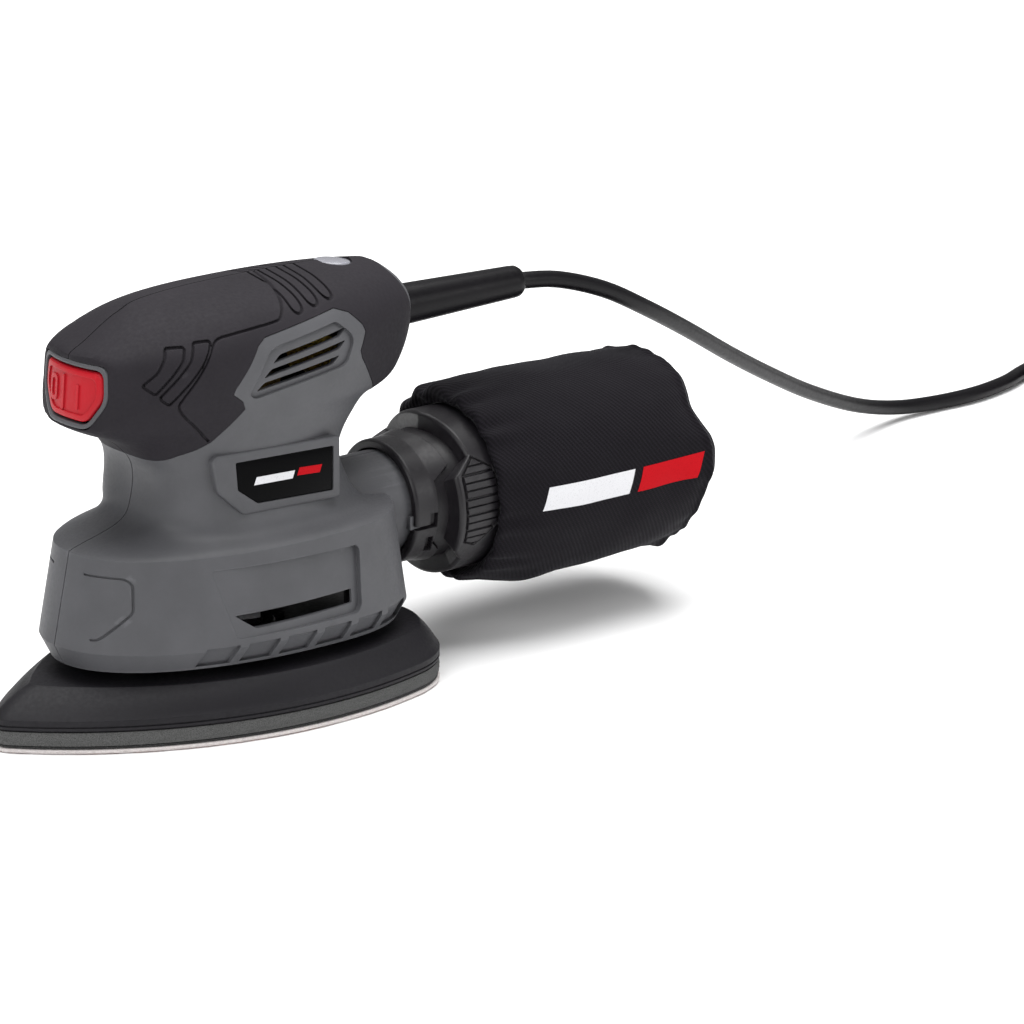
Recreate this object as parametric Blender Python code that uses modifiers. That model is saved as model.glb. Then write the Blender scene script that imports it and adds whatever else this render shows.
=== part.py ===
"""Detail mouse sander: an iron-shaped orbital sander with a dust bag and a mains cord.

Helpers take millimetres and make meshes in metres. +Z is up, -X is the pad's tip, +X is the
rear with the cord and the dust port. The origin is the middle of the pad on the work surface.
"""
import math

import bmesh
import bpy
from mathutils import Vector
from mathutils.bvhtree import BVHTree

MM = 0.001
GAP = 0.3                    # clearance between neighbouring pieces

# pad stack
SHEET_TOP = 1.1
HOOK_TOP = 1.6
FOAM_TOP = 6.1
BAND_TOP = 10.0
PLATEN_TOP = 17.0
PAD_TIP, PAD_REAR, PAD_HALF, PAD_WIDE_AT = -77.5, 62.5, 43.0, 12.0
DUST_HOLES = [(-46, 0), (-18, 24), (-18, -24), (18, 30), (18, -30), (46, 0)]
DUST_HOLE_RADIUS = 3.5
LEG_PLACES = [(-33, 11), (-33, -11), (33, 20), (33, -20)]
LEG_RADIUS = 3.5

# motor
MOTOR_X = 2.0
ECCENTRIC = 0.8
SHAFT_RADIUS = 3.0
BORE_RADIUS = SHAFT_RADIUS + GAP

# housing
WALL = 3.2
GRIP_DEPTH = 1.4
POCKET_DEPTH = 1.95
SEAM = 0.15                  # half the gap between the two housing halves
RING_POINTS = 11             # points on each side of a housing ring, ends left out
NOSE_FLAT_FROM = 85.0
# front x, front z, rear x, rear z, half width, side z, widest x, front power, rear power
HOUSING_RINGS = [
    (-54.5, 21.0, 52.0, 21.0, 34.0, 21.0, 10, 2.1, 2.8),
    (-57.5, 27.0, 54.5, 27.0, 37.0, 27.0, 10, 2.1, 2.8),
    (-51.0, 52.5, 51.5, 54.0, 33.5, 53.5, 9, 2.2, 2.8),
    (-31.5, 58.5, 41.0, 57.5, 26.5, 56.5, 3, 3.2, 2.6),
    (-30.5, 61.5, 38.5, 63.0, 24.2, 61.5, 2, 3.8, 2.5),
    (-30.5, 76.0, 38.5, 76.0, 24.0, 76.0, 2, 3.8, 2.5),
    (-35.0, 81.0, 45.0, 83.2, 24.8, 82.5, 2, 3.0, 2.4),
    (-52.6, 91.3, 59.5, 90.6, 27.0, 92.0, 3, 2.7, 2.3),
    (-52.0, 99.0, 63.0, 99.0, 28.3, 101.0, 5, 2.6, 2.3),
    (-50.0, 107.8, 62.0, 108.0, 26.8, 110.0, 6, 2.6, 2.3),
    (-43.0, 112.5, 59.5, 113.2, 21.5, 116.5, 6, 2.4, 2.3),
    (-36.0, 117.3, 55.0, 118.0, 12.0, 120.7, 6, 2.3, 2.2),
]
SEAM_LINE = [(-30.0, 119.8), (-18.0, 121.9), (-5.0, 122.9), (14.0, 123.0), (38.0, 122.0), (51.0, 120.2)]
# side outline (x, z) of the soft grip
GRIP_OUTLINE = [
    (-75, 74), (-33, 74), (-30.5, 77.5), (-28, 80.5), (-24, 83), (-15, 87), (-7.8, 90.1),
    (-11.2, 95.8), (-3, 107.6), (0, 110.2), (24, 114.2), (34.8, 107.1), (33.8, 99.8),
    (37.8, 92), (48, 79), (90, 74), (90, 135), (-75, 135),
]
SCREW_PLACES = [(-36, 110.5), (-24, 80), (27.5, 72), (50, 92), (-45, 44), (44.5, 28.2)]
GRIP_SCREWS = (1, 4)         # the screws whose recesses pass through the right grip
BADGE_OUTLINE = [(-12, 76.8), (21.6, 77.1), (21.1, 64.5), (-4.5, 63.9), (-11.8, 69.8)]
BEZEL_OUTLINE = [(-21, 79.5), (23.8, 79.3), (24.1, 60.6), (-9.8, 61.1), (-20.6, 70.5)]
BEZEL_FACE = 25.0
ROCKER_OUTLINE = [(-13.4, 107.4), (13.4, 107.4), (13.6, 100), (8.5, 92), (-8.5, 92), (-13.6, 100)]

# dust port, adapter and bag share one axis along X
PORT_Z = 46.0
PORT_RADIUS = 15.7
PORT_BORE = 13.5
PORT_END = 69.0
BAG_RADIUS = 31.0

# cord
CORD_Z = 104.3
CORD_RADIUS = 2.6
BOOT_END = 111.0
CORD_ROUTE = [
    (BOOT_END + GAP, 0, CORD_Z), (127, 0, 102.2), (146, 0.4, 96), (166, 3.2, 86.2), (192, 12.8, 73),
    (223, 27, 57), (256, 42.7, 41), (289, 58, 26), (324, 72.5, 12.2), (350, 79.6, 5),
    (370, 80.2, 2.9), (390, 79.6, 2.8), (410, 83.4, 2.8), (426, 89.6, 2.8), (435.0, 93.1, 2.8),
]
CORD_SPACING = 10.0
COIL_CENTRE = (465.3, 63.6)
COIL_INNER, COIL_OUTER, COIL_TOP = 18.3, 39.6, 11.0
PLUG_X, PLUG_START_Y, PLUG_Z = 502.2, 41.0, 7.2


# ---------------------------------------------------------------- helpers

def clear_scene():
    for obj in list(bpy.data.objects):
        bpy.data.objects.remove(obj, do_unlink=True)


def make_collection(name):
    collection = bpy.data.collections.new(name)
    bpy.context.scene.collection.children.link(collection)
    return collection


def material(name, colour, roughness, metallic=0.0):
    made = bpy.data.materials.get(name)
    if made is None:
        made = bpy.data.materials.new(name)
        made.use_nodes = True
        shader = made.node_tree.nodes["Principled BSDF"]
        shader.inputs["Base Color"].default_value = (*colour, 1)
        shader.inputs["Roughness"].default_value = roughness
        shader.inputs["Metallic"].default_value = metallic
    return made


def add_mesh(name, points, faces, collection, finish=None):
    """A mesh object from points in millimetres."""
    mesh = bpy.data.meshes.new(name)
    mesh.from_pydata([Vector(p) * MM for p in points], [], faces)
    mesh.validate()
    obj = bpy.data.objects.new(name, mesh)
    collection.objects.link(obj)
    if finish:
        mesh.materials.append(finish)
    return obj


def recalculated(obj):
    """Turn all faces of a closed mesh outwards."""
    shape = bmesh.new()
    shape.from_mesh(obj.data)
    bmesh.ops.remove_doubles(shape, verts=shape.verts, dist=0.00001)
    bmesh.ops.recalc_face_normals(shape, faces=shape.faces)
    shape.to_mesh(obj.data)
    shape.free()
    return obj


def box(name, low, high, collection, finish=None, bevel=0.0):
    shape = bmesh.new()
    bmesh.ops.create_cube(shape, size=1)
    for vert in shape.verts:
        vert.co = Vector([(low[i] + (high[i] - low[i]) * (vert.co[i] + 0.5)) * MM for i in range(3)])
    mesh = bpy.data.meshes.new(name)
    shape.to_mesh(mesh)
    shape.free()
    obj = bpy.data.objects.new(name, mesh)
    collection.objects.link(obj)
    if finish:
        mesh.materials.append(finish)
    if bevel:
        round_edges(obj, bevel)
    return obj


def round_edges(obj, width, segments=1):
    modifier = obj.modifiers.new("rounding", "BEVEL")
    modifier.width = width * MM
    modifier.segments = segments
    modifier.limit_method = "ANGLE"
    return obj


def rod(name, start, end, radius, collection, finish=None, sides=16, end_radius=None):
    """A closed cylinder or cone between two points."""
    start, end = Vector(start) * MM, Vector(end) * MM
    shape = bmesh.new()
    bmesh.ops.create_cone(
        shape, cap_ends=True, segments=sides, radius1=radius * MM,
        radius2=(radius if end_radius is None else end_radius) * MM, depth=(end - start).length)
    mesh = bpy.data.meshes.new(name)
    shape.to_mesh(mesh)
    shape.free()
    obj = bpy.data.objects.new(name, mesh)
    obj.location = (start + end) / 2
    obj.rotation_euler = (end - start).to_track_quat("Z", "Y").to_euler()
    collection.objects.link(obj)
    if finish:
        mesh.materials.append(finish)
    mesh.shade_smooth()
    mesh.set_sharp_from_angle(angle=math.radians(40))
    return obj


def turned(name, profile, collection, finish=None, centre=(0, 0, 0), axis="Z", steps=16):
    """A closed (radius, height) loop turned about an upright axis or one along +X."""
    mesh = bpy.data.meshes.new(name)
    count = len(profile)
    area = sum(profile[i - 1][0] * profile[i][1] - profile[i][0] * profile[i - 1][1] for i in range(count))
    if area > 0:
        profile = profile[::-1]
    edges = [(i, (i + 1) % count) for i in range(count)]
    mesh.from_pydata([(r * MM, 0, h * MM) for r, h in profile], edges, [])
    obj = bpy.data.objects.new(name, mesh)
    collection.objects.link(obj)
    screw = obj.modifiers.new("turn", "SCREW")
    screw.axis = "Z"
    screw.steps = screw.render_steps = steps
    screw.use_merge_vertices = True
    screw.merge_threshold = 0.00001
    screw.use_smooth_shade = False
    obj.location = Vector(centre) * MM
    if axis == "X":
        obj.rotation_euler = (0, math.radians(90), 0)
    if finish:
        mesh.materials.append(finish)
    return obj


def ring(name, inner, outer, low, high, collection, finish=None, centre=(0, 0), steps=16):
    profile = [(outer, high), (outer, low), (inner, low), (inner, high)]
    return turned(name, profile, collection, finish, (*centre, 0), steps=steps)


def prism(name, outline, low, high, collection, finish=None, along="Z"):
    """A flat outline given a thickness, along Z from (x, y) or along Y or X from the other two."""
    place = {
        "Z": lambda a, b: (a, b, low),
        "Y": lambda a, b: (a, low, b),
        "X": lambda a, b: (low, a, b),
    }[along]
    shift = {"Z": (0, 0, 1), "Y": (0, 1, 0), "X": (1, 0, 0)}[along]
    shape = bmesh.new()
    corners = [shape.verts.new(Vector(place(a, b)) * MM) for a, b in outline]
    face = shape.faces.new(corners)
    pulled = bmesh.ops.extrude_face_region(shape, geom=[face])
    moved = [item for item in pulled["geom"] if isinstance(item, bmesh.types.BMVert)]
    bmesh.ops.translate(shape, verts=moved, vec=Vector(shift) * (high - low) * MM)
    bmesh.ops.recalc_face_normals(shape, faces=shape.faces)
    mesh = bpy.data.meshes.new(name)
    shape.to_mesh(mesh)
    shape.free()
    obj = bpy.data.objects.new(name, mesh)
    collection.objects.link(obj)
    if finish:
        mesh.materials.append(finish)
    return obj


def boolean(obj, other, operation="DIFFERENCE", solver="EXACT"):
    modifier = obj.modifiers.new(operation.lower(), "BOOLEAN")
    modifier.operation = operation
    modifier.solver = solver
    modifier.object = other
    other.hide_render = True
    other.display_type = "WIRE"
    return obj


def grown(outline, distance):
    """The outline with each corner moved outwards by the distance."""
    count = len(outline)
    area = sum(outline[i][0] * outline[(i + 1) % count][1] - outline[(i + 1) % count][0] * outline[i][1]
               for i in range(count))
    side = 1 if area > 0 else -1
    moved = []
    for i, corner in enumerate(outline):
        here = Vector(corner)
        before = (here - Vector(outline[i - 1])).normalized()
        after = (Vector(outline[(i + 1) % count]) - here).normalized()
        normal = Vector((before.y + after.y, -before.x - after.x)).normalized() * side
        square = Vector((after.y, -after.x)) * side
        moved.append(tuple(here + normal * distance / max(normal.dot(square), 0.5)))
    return moved


def mouse_outline(tip_x, rear_x, half_width, wide_at, tip_radius, rear_radius, steps=(4, 9, 5)):
    """Iron shape: a small tip arc, long side arcs and rounded rear corners, from the tip round."""
    reach = wide_at - tip_x - tip_radius
    side = (reach ** 2 + half_width ** 2 - tip_radius ** 2) / (2 * (half_width - tip_radius))
    corner_x = rear_x - rear_radius
    corner_y = half_width - side + math.sqrt((side - rear_radius) ** 2 - (corner_x - wide_at) ** 2)
    tip_turn = math.pi - math.atan2(side - half_width, reach)
    corner_angle = math.atan2(corner_y - half_width + side, corner_x - wide_at)
    arcs = [
        (tip_x + tip_radius, 0, tip_radius, math.pi, tip_turn, steps[0]),
        (wide_at, half_width - side, side, tip_turn, corner_angle, steps[1]),
        (corner_x, corner_y, rear_radius, corner_angle, 0, steps[2]),
    ]
    half = []
    for centre_x, centre_y, radius, start, end, count in arcs:
        for i in range(count + 1):
            angle = start + (end - start) * i / count
            point = (centre_x + radius * math.cos(angle), centre_y + radius * math.sin(angle))
            if not half or math.dist(point, half[-1]) > 0.01:
                half.append(point)
    return half + [(x, -y) for x, y in reversed(half[1:])]


def smooth_route(points, spacing):
    """Points at an even spacing along a Catmull-Rom curve through the given ones."""
    points = [Vector(p) for p in points]
    ends = [2 * points[0] - points[1], *points, 2 * points[-1] - points[-2]]
    dense = []
    for a, b, c, d in zip(ends, ends[1:], ends[2:], ends[3:]):
        for i in range(20):
            t = i / 20
            dense.append(0.5 * (2 * b + (c - a) * t + (2 * a - 5 * b + 4 * c - d) * t * t
                                + (3 * b - a - 3 * c + d) * t ** 3))
    dense.append(points[-1])
    length = sum((q - p).length for p, q in zip(dense, dense[1:]))
    count = round(length / spacing)
    even, walked, target = [dense[0]], 0.0, length / count
    for p, q in zip(dense, dense[1:]):
        step = (q - p).length
        while len(even) < count and walked + step >= target * len(even):
            even.append(p.lerp(q, (target * len(even) - walked) / step))
        walked += step
    return [*even[:count], dense[-1]]


# ---------------------------------------------------------------- housing

def housing_ring(row, count):
    """One closed ring of the housing, from the front round the left side to the rear and back."""
    front_x, front_z, rear_x, rear_z, half_width, side_z, wide_at, front_power, rear_power = row
    half = []
    for i in range(count + 2):
        angle = math.pi * i / (count + 1)
        along, across = math.cos(angle), math.sin(angle)
        power, reach = (front_power, wide_at - front_x) if along > 0 else (rear_power, rear_x - wide_at)
        x = wide_at - math.copysign(reach * abs(along) ** (2 / power), along)
        y = -half_width * across ** (2 / power) if 0 < i < count + 1 else 0.0
        share = (x - front_x) / (rear_x - front_x)
        z = front_z + (rear_z - front_z) * share + (side_z - (front_z + rear_z) / 2) * across
        if z > NOSE_FLAT_FROM:
            x = max(x, -49.9 + 0.1 * (z - 91))
        half.append((x, y, z))
    return half + [(x, -y, z) for x, y, z in reversed(half[1:-1])]


def seam_height(x):
    for (x0, z0), (x1, z1) in zip(SEAM_LINE, SEAM_LINE[1:]):
        if x <= x1 or (x1, z1) == SEAM_LINE[-1]:
            return z0 + (z1 - z0) * (x - x0) / (x1 - x0)
    return SEAM_LINE[-1][1]


def skin(name, collection):
    """The outer surface of the whole housing, open at the bottom."""
    rings = [housing_ring(row, RING_POINTS) for row in HOUSING_RINGS]
    first, last = SEAM_LINE[0][0], SEAM_LINE[-1][0]
    top = []
    for x, _, _ in rings[-1]:
        share = (x - HOUSING_RINGS[-1][0]) / (HOUSING_RINGS[-1][2] - HOUSING_RINGS[-1][0])
        along = first + (last - first) * share
        top.append((along, 0.0, seam_height(along)))
    rings.append(top)
    size = len(rings[0])
    points = [point for one in rings for point in one]
    faces = []
    for level in range(len(rings) - 1):
        for i in range(size):
            j = (i + 1) % size
            low, high = level * size, (level + 1) * size
            faces.append((low + i, low + j, high + j, high + i))
    obj = add_mesh(name, points, faces, collection)
    shape = bmesh.new()
    shape.from_mesh(obj.data)
    bmesh.ops.remove_doubles(shape, verts=shape.verts, dist=0.0001)
    bmesh.ops.recalc_face_normals(shape, faces=shape.faces)
    if sum(face.normal.z for face in shape.faces if face.calc_center_median().z > 0.118) < 0:
        bmesh.ops.reverse_faces(shape, faces=shape.faces)
    shape.to_mesh(obj.data)
    shape.free()
    return obj


def layer(name, outside, inside, collection):
    """The housing's skin given a wall from so far outside it to so far inside it."""
    obj = skin(name, collection)
    wall = obj.modifiers.new("wall", "SOLIDIFY")
    wall.thickness = (outside + inside) * MM
    wall.offset = (outside - inside) / (outside + inside)
    wall.use_even_offset = True
    return obj


def boss_reach(tree, x, z, radius):
    """How far from the seam a boss of this radius can go and stay inside the skin all round."""
    reaches = []
    for i in range(8):
        angle = math.tau * i / 8
        start = Vector((x + radius * math.cos(angle), -90, z + radius * math.sin(angle))) * MM
        reaches.append(-tree.ray_cast(start, Vector((0, 1, 0)))[0].y / MM)
    return min(reaches) - 2.0


def build_housing(parts, cutters, finishes):
    probe = skin("skin_probe", cutters)
    probe.hide_render = True
    mesh = probe.data
    tree = BVHTree.FromPolygons([v.co for v in mesh.vertices], [p.vertices for p in mesh.polygons])
    bpy.data.objects.remove(probe, do_unlink=True)

    grip_window = prism("grip_window", GRIP_OUTLINE, -45, 45, cutters, along="Y")
    pocket = layer("grip_pocket", 1.0, POCKET_DEPTH, cutters)
    pocket_window = prism("pocket_window", grown(GRIP_OUTLINE, 0.4), -46, 46, cutters, along="Y")
    boolean(pocket, pocket_window, "INTERSECT")
    nose_opening = prism("nose_opening", grown(ROCKER_OUTLINE, 0.7), -60, -39, cutters, along="X")
    cable_hole = rod("cable_hole", (50.5, 0, CORD_Z), (85, 0, CORD_Z), 6.7, cutters, sides=20)
    lens_window = prism("lens_window", lens_outline(GAP), 112, 130, cutters)
    vents = vent_cutter(cutters)
    slot = exhaust_slot(cutters)
    port_bore = rod("port_bore", (38, 0, PORT_Z), (80, 0, PORT_Z), PORT_BORE, cutters, sides=24)

    for side, sign in (("left", -1), ("right", 1)):
        shell = layer(f"{side}_housing", 0, WALL, parts)
        shell.data.materials.append(finishes["grey"])
        near, far = sorted((sign * SEAM, sign * 60))
        keep = box(f"{side}_space", (-90, near, 0), (90, far, 140), cutters)
        port = rod(f"{side}_port", (45, 0, PORT_Z), (PORT_END, 0, PORT_Z), PORT_RADIUS, cutters, sides=24)
        boolean(shell, port, "UNION")
        for number, (x, z) in enumerate(SCREW_PLACES, 1):
            radius = 3.6 if sign < 0 else 4.5
            reach = boss_reach(tree, x, z, radius)
            start, end = (x, sign * reach, z), (x, sign * -1.5, z)
            boss = rod(f"{side}_boss_{number}", start, end, radius, cutters, sides=12)
            boolean(shell, boss, "UNION")
        boolean(shell, pocket)
        bezel_low, bezel_high = sorted((sign * 21.6, sign * BEZEL_FACE))
        bezel = prism(f"{side}_bezel", BEZEL_OUTLINE, bezel_low, bezel_high, cutters, along="Y")
        boolean(shell, bezel, "UNION")
        badge_low, badge_high = sorted((sign * (BEZEL_FACE - 1.1), sign * 27))
        badge_cut = prism(f"{side}_badge_cut", grown(BADGE_OUTLINE, GAP), badge_low, badge_high, cutters,
                          along="Y")
        boolean(shell, badge_cut)
        boolean(shell, port_bore)
        for number, (x, z) in enumerate(SCREW_PLACES, 1):
            if sign < 0:
                hole = rod(f"{side}_hole_{number}", (x, -9, z), (x, 5, z), 1.9, cutters, sides=10)
            else:
                recess = [(3.1, 50), (3.1, 12), (1.9, 12), (1.9, -5), (0, -5), (0, 50)]
                hole = turned(f"{side}_hole_{number}", recess, cutters, steps=10)
                hole.location = Vector((x, 0, z)) * MM
                hole.rotation_euler = (math.radians(-90), 0, 0)
            boolean(shell, hole)
        for cutter in (nose_opening, cable_hole, lens_window, vents, slot):
            boolean(shell, cutter)
        boolean(shell, keep, "INTERSECT", "MANIFOLD")

        grip = layer(f"{side}_grip", 0, GRIP_DEPTH, parts)
        grip.data.materials.append(finishes["rubber"])
        boolean(grip, grip_window, "INTERSECT")
        for cutter in (nose_opening, cable_hole, lens_window):
            boolean(grip, cutter)
        if sign > 0:
            for number in GRIP_SCREWS:
                boolean(grip, cutters.objects[f"right_hole_{number}"])
        boolean(grip, keep, "INTERSECT", "MANIFOLD")

        plate_low, plate_high = sorted((sign * (BEZEL_FACE - 0.8), sign * (BEZEL_FACE - 0.05)))
        prism(f"{side}_badge", BADGE_OUTLINE, plate_low, plate_high, parts, finishes["gloss"], "Y")


def vent_cutter(cutters):
    """Three slanted slots through both sides of the head, as one cutter."""
    vents = box("vent_slots", (-12.5, -50, -1.0), (12.5, 50, 1.0), cutters)
    vents.location = Vector((13.5, 0, 98.2)) * MM
    vents.rotation_euler = (0, math.radians(-10.5), 0)
    stack = vents.modifiers.new("three", "ARRAY")
    stack.count = 3
    stack.use_relative_offset = False
    stack.use_constant_offset = True
    stack.constant_offset_displace = (0.0006, 0, 0.0042)
    return vents


def exhaust_slot(cutters):
    outline = [(-19.7, 35.8), (19.4, 35.2), (18.6, 31.6), (-15, 31.5)]
    return prism("exhaust_slot", outline, -50, 50, cutters, along="Y")


def lens_outline(extra):
    centre_x, half_x, half_y = 42.0, 5.4 + extra, 5.6 + extra
    return [(centre_x + half_x * math.cos(math.tau * i / 14), half_y * math.sin(math.tau * i / 14))
            for i in range(14)]


def build_fasteners(parts, finishes):
    for number, (x, z) in enumerate(SCREW_PLACES, 1):
        profile = [(2.7, 14.4), (2.7, 12.3), (1.5, 12.3), (1.5, -8.2), (0, -8.2), (0, 13.2), (1.2, 14.4)]
        screw = turned(f"housing_screw_{number}", profile, parts, finishes["steel"], steps=8)
        screw.location = Vector((x, 0, z)) * MM
        screw.rotation_euler = (math.radians(-90), 0, 0)


# ---------------------------------------------------------------- switch, mains and small parts

def build_switch(parts, finishes):
    rocker = prism("rocker_button", ROCKER_OUTLINE, -50.2, -44.4, parts, finishes["red"], "X")
    round_edges(rocker, 0.8)
    box("switch_body", (-42.4, -9.5, 93.5), (-26, 9.5, 105.5), parts, finishes["black"], 0.5)
    box("capacitor", (29, -6, 91), (43, 6, 99.5), parts, finishes["yellow"], 1.0)
    lens = prism("indicator_lens", lens_outline(0), 115.5, 121.6, parts, finishes["clear"])
    round_edges(lens, 0.8)


def build_cord(parts, cutters, finishes):
    start, radius = BOOT_END, 4.7
    profile = [(3.4, 40.0), (3.4, 49.5), (7.0, 49.5), (7.0, 52.5), (6.2, 52.5), (6.2, 68.0),
               (radius, start), (0, start), (0, 40.0)]
    turned("strain_relief", [(r, h) for r, h in reversed(profile)], parts, finishes["cord"],
           (0, 0, CORD_Z), "X", 20)
    clamp = box("cable_clamp", (41, -9, CORD_Z + 3.8), (48, 9, CORD_Z + 7.2), parts, finishes["black"], 0.4)
    for side, y in (("left", -6.2), ("right", 6.2)):
        hole = rod(f"clamp_hole_{side}", (44.5, y, 100), (44.5, y, 120), 1.8, cutters, sides=10)
        boolean(clamp, hole)
        top = CORD_Z + 9.6
        foot = CORD_Z - 2
        profile = [(2.6, top), (2.6, top - 2.1), (1.5, top - 2.1), (1.5, foot), (0, foot), (0, top)]
        turned(f"clamp_screw_{side}", profile, parts, finishes["steel"], (44.5, y, 0), steps=10)

    curve = bpy.data.curves.new("cord", "CURVE")
    curve.dimensions = "3D"
    curve.bevel_depth = CORD_RADIUS * MM
    curve.bevel_resolution = 2
    curve.use_fill_caps = True
    spline = curve.splines.new("POLY")
    route = smooth_route(CORD_ROUTE, CORD_SPACING)
    spline.points.add(len(route) - 1)
    for point, place in zip(spline.points, route):
        point.co = (*(place * MM), 1)
    curve.materials.append(finishes["cord"])
    parts.objects.link(bpy.data.objects.new("cord", curve))

    ring("cord_coil", COIL_INNER, COIL_OUTER, 0.2, COIL_TOP, parts, finishes["cord"], COIL_CENTRE, 24)
    build_plug(parts, cutters, finishes)


def build_plug(parts, cutters, finishes):
    """A flat two-pin plug lying beside the coil, with its own tapered boot, pointing along -Y."""
    boot_end = PLUG_START_Y - 24
    half = [(11, boot_end + 1), (17.6, boot_end - 15), (17.6, boot_end - 30), (11, boot_end - 36)]
    outline = half + [(-x, y) for x, y in reversed(half)]
    body = prism("plug_body", outline, PLUG_Z - 6.8, PLUG_Z + 6.8, parts, finishes["cord"])
    body.location = (PLUG_X * MM, 0, 0)
    round_edges(body, 1.5)
    boot = rod("plug_boot_form", (PLUG_X, PLUG_START_Y, PLUG_Z - 2.6), (PLUG_X, boot_end - 4, PLUG_Z), 4.0,
               cutters, sides=16, end_radius=5.6)
    boolean(body, boot, "UNION")
    for number, offset in ((1, -9.3), (2, 9.3)):
        root = (PLUG_X + offset, boot_end - 36.3, PLUG_Z)
        tip = (PLUG_X + offset, boot_end - 55, PLUG_Z)
        rod(f"plug_pin_{number}", root, tip, 2.0, parts, finishes["steel"], sides=12)


# ---------------------------------------------------------------- motor

def rounded_block(half_x, half_y, power, count=24):
    """A superellipse about the motor axis."""
    points = []
    for i in range(count):
        angle = math.tau * i / count
        c, s = math.cos(angle), math.sin(angle)
        points.append((MOTOR_X + math.copysign(half_x * abs(c) ** (2 / power), c),
                       math.copysign(half_y * abs(s) ** (2 / power), s)))
    return points


def build_stator(parts, cutters, finishes):
    centre = (MOTOR_X, 0)
    core = prism("stator_core", rounded_block(20.5, 20.0, 2.5), 66, 84, parts, finishes["steel"])
    boolean(core, rod("stator_bore", (MOTOR_X, 0, 60), (MOTOR_X, 0, 90), 14.2, cutters, sides=24))
    for i, (x, y) in enumerate(((-13, -8.5), (-13, 8.5), (13, -8.5), (13, 8.5)), 1):
        slot = rod(f"coil_slot_{i}", (MOTOR_X + x, y, 60), (MOTOR_X + x, y, 90), 2.8, cutters, sides=10)
        boolean(core, slot)
    for side, sign in (("left", -1), ("right", 1)):
        bows = [(-13, 8.5), (-11, 13), (-6, 16.2), (0, 17.2), (6, 16.2), (11, 13), (13, 8.5)]
        loop = [(x, sign * y, 64) for x, y in bows] + [(x, sign * y, 86.2) for x, y in reversed(bows)]
        coil = bpy.data.curves.new(f"field_coil_{side}", "CURVE")
        coil.dimensions = "3D"
        coil.bevel_depth = 2.0 * MM
        coil.bevel_resolution = 1
        spline = coil.splines.new("POLY")
        spline.points.add(len(loop) - 1)
        for point, (x, y, z) in zip(spline.points, loop):
            point.co = ((MOTOR_X + x) * MM, y * MM, z * MM, 1)
        spline.use_cyclic_u = True
        coil.materials.append(finishes["copper"])
        parts.objects.link(bpy.data.objects.new(f"field_coil_{side}", coil))

    plate = prism("bearing_plate", rounded_block(29, 27, 2.3, 32), 49.6, 52.4, parts, finishes["alloy"])
    hub = rod("bearing_hub", (MOTOR_X, 0, 50.5), (MOTOR_X, 0, 60.2), 12.5, cutters, sides=24)
    boolean(plate, hub, "UNION")
    seat = turned("bearing_seat", [(9.8, 70), (9.8, 53.5), (5.5, 53.5), (5.5, 40), (0, 40), (0, 70)], cutters,
                  centre=(MOTOR_X, 0, 0))
    boolean(plate, seat)
    for i in range(6):
        angle = math.tau * (i + 0.5) / 6
        x, y = MOTOR_X + 19.5 * math.cos(angle), 19.5 * math.sin(angle)
        boolean(plate, rod(f"air_hole_{i + 1}", (x, y, 45), (x, y, 56), 4.0, cutters, sides=12))
    ring("lower_bearing", BORE_RADIUS, 9.5, 53.8, 59.8, parts, finishes["steel"], centre)
    ring("upper_bearing", BORE_RADIUS, 8.0, 101.2, 106.2, parts, finishes["steel"], centre)
    bracket = box("upper_bracket", (MOTOR_X - 10.5, -20.5, 106.6), (MOTOR_X + 10.5, 20.5, 109.4), parts,
                  finishes["black"], 0.5)
    cup = rod("bearing_cup", (MOTOR_X, 0, 100.6), (MOTOR_X, 0, 108), 10.2, cutters, sides=24)
    boolean(bracket, cup, "UNION")
    boolean(bracket, turned("cup_bore", [(8.3, 106.5), (8.3, 90), (0, 90), (0, 106.5)], cutters,
                            centre=(MOTOR_X, 0, 0)))
    boolean(bracket, rod("cup_eye", (MOTOR_X, 0, 95), (MOTOR_X, 0, 120), 5.0, cutters, sides=16))

    for side, sign in (("left", -1), ("right", 1)):
        low, high = sorted((sign * 9.4, sign * 21.5))
        holder = box(f"brush_holder_{side}", (MOTOR_X - 5, low, 90.6), (MOTOR_X + 5, high, 98.6), parts,
                     finishes["brass"], 0.4)
        tunnel_low, tunnel_high = sorted((sign * 4, sign * 19.8))
        tunnel = box(f"brush_tunnel_{side}", (MOTOR_X - 3.6, tunnel_low, 92), (MOTOR_X + 3.6, tunnel_high, 97.2),
                     cutters)
        boolean(holder, tunnel)
        brush_low, brush_high = sorted((sign * 8.4, sign * 19.2))
        box(f"carbon_brush_{side}", (MOTOR_X - 3.2, brush_low, 92.4), (MOTOR_X + 3.2, brush_high, 96.8),
            parts, finishes["carbon"])


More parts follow.
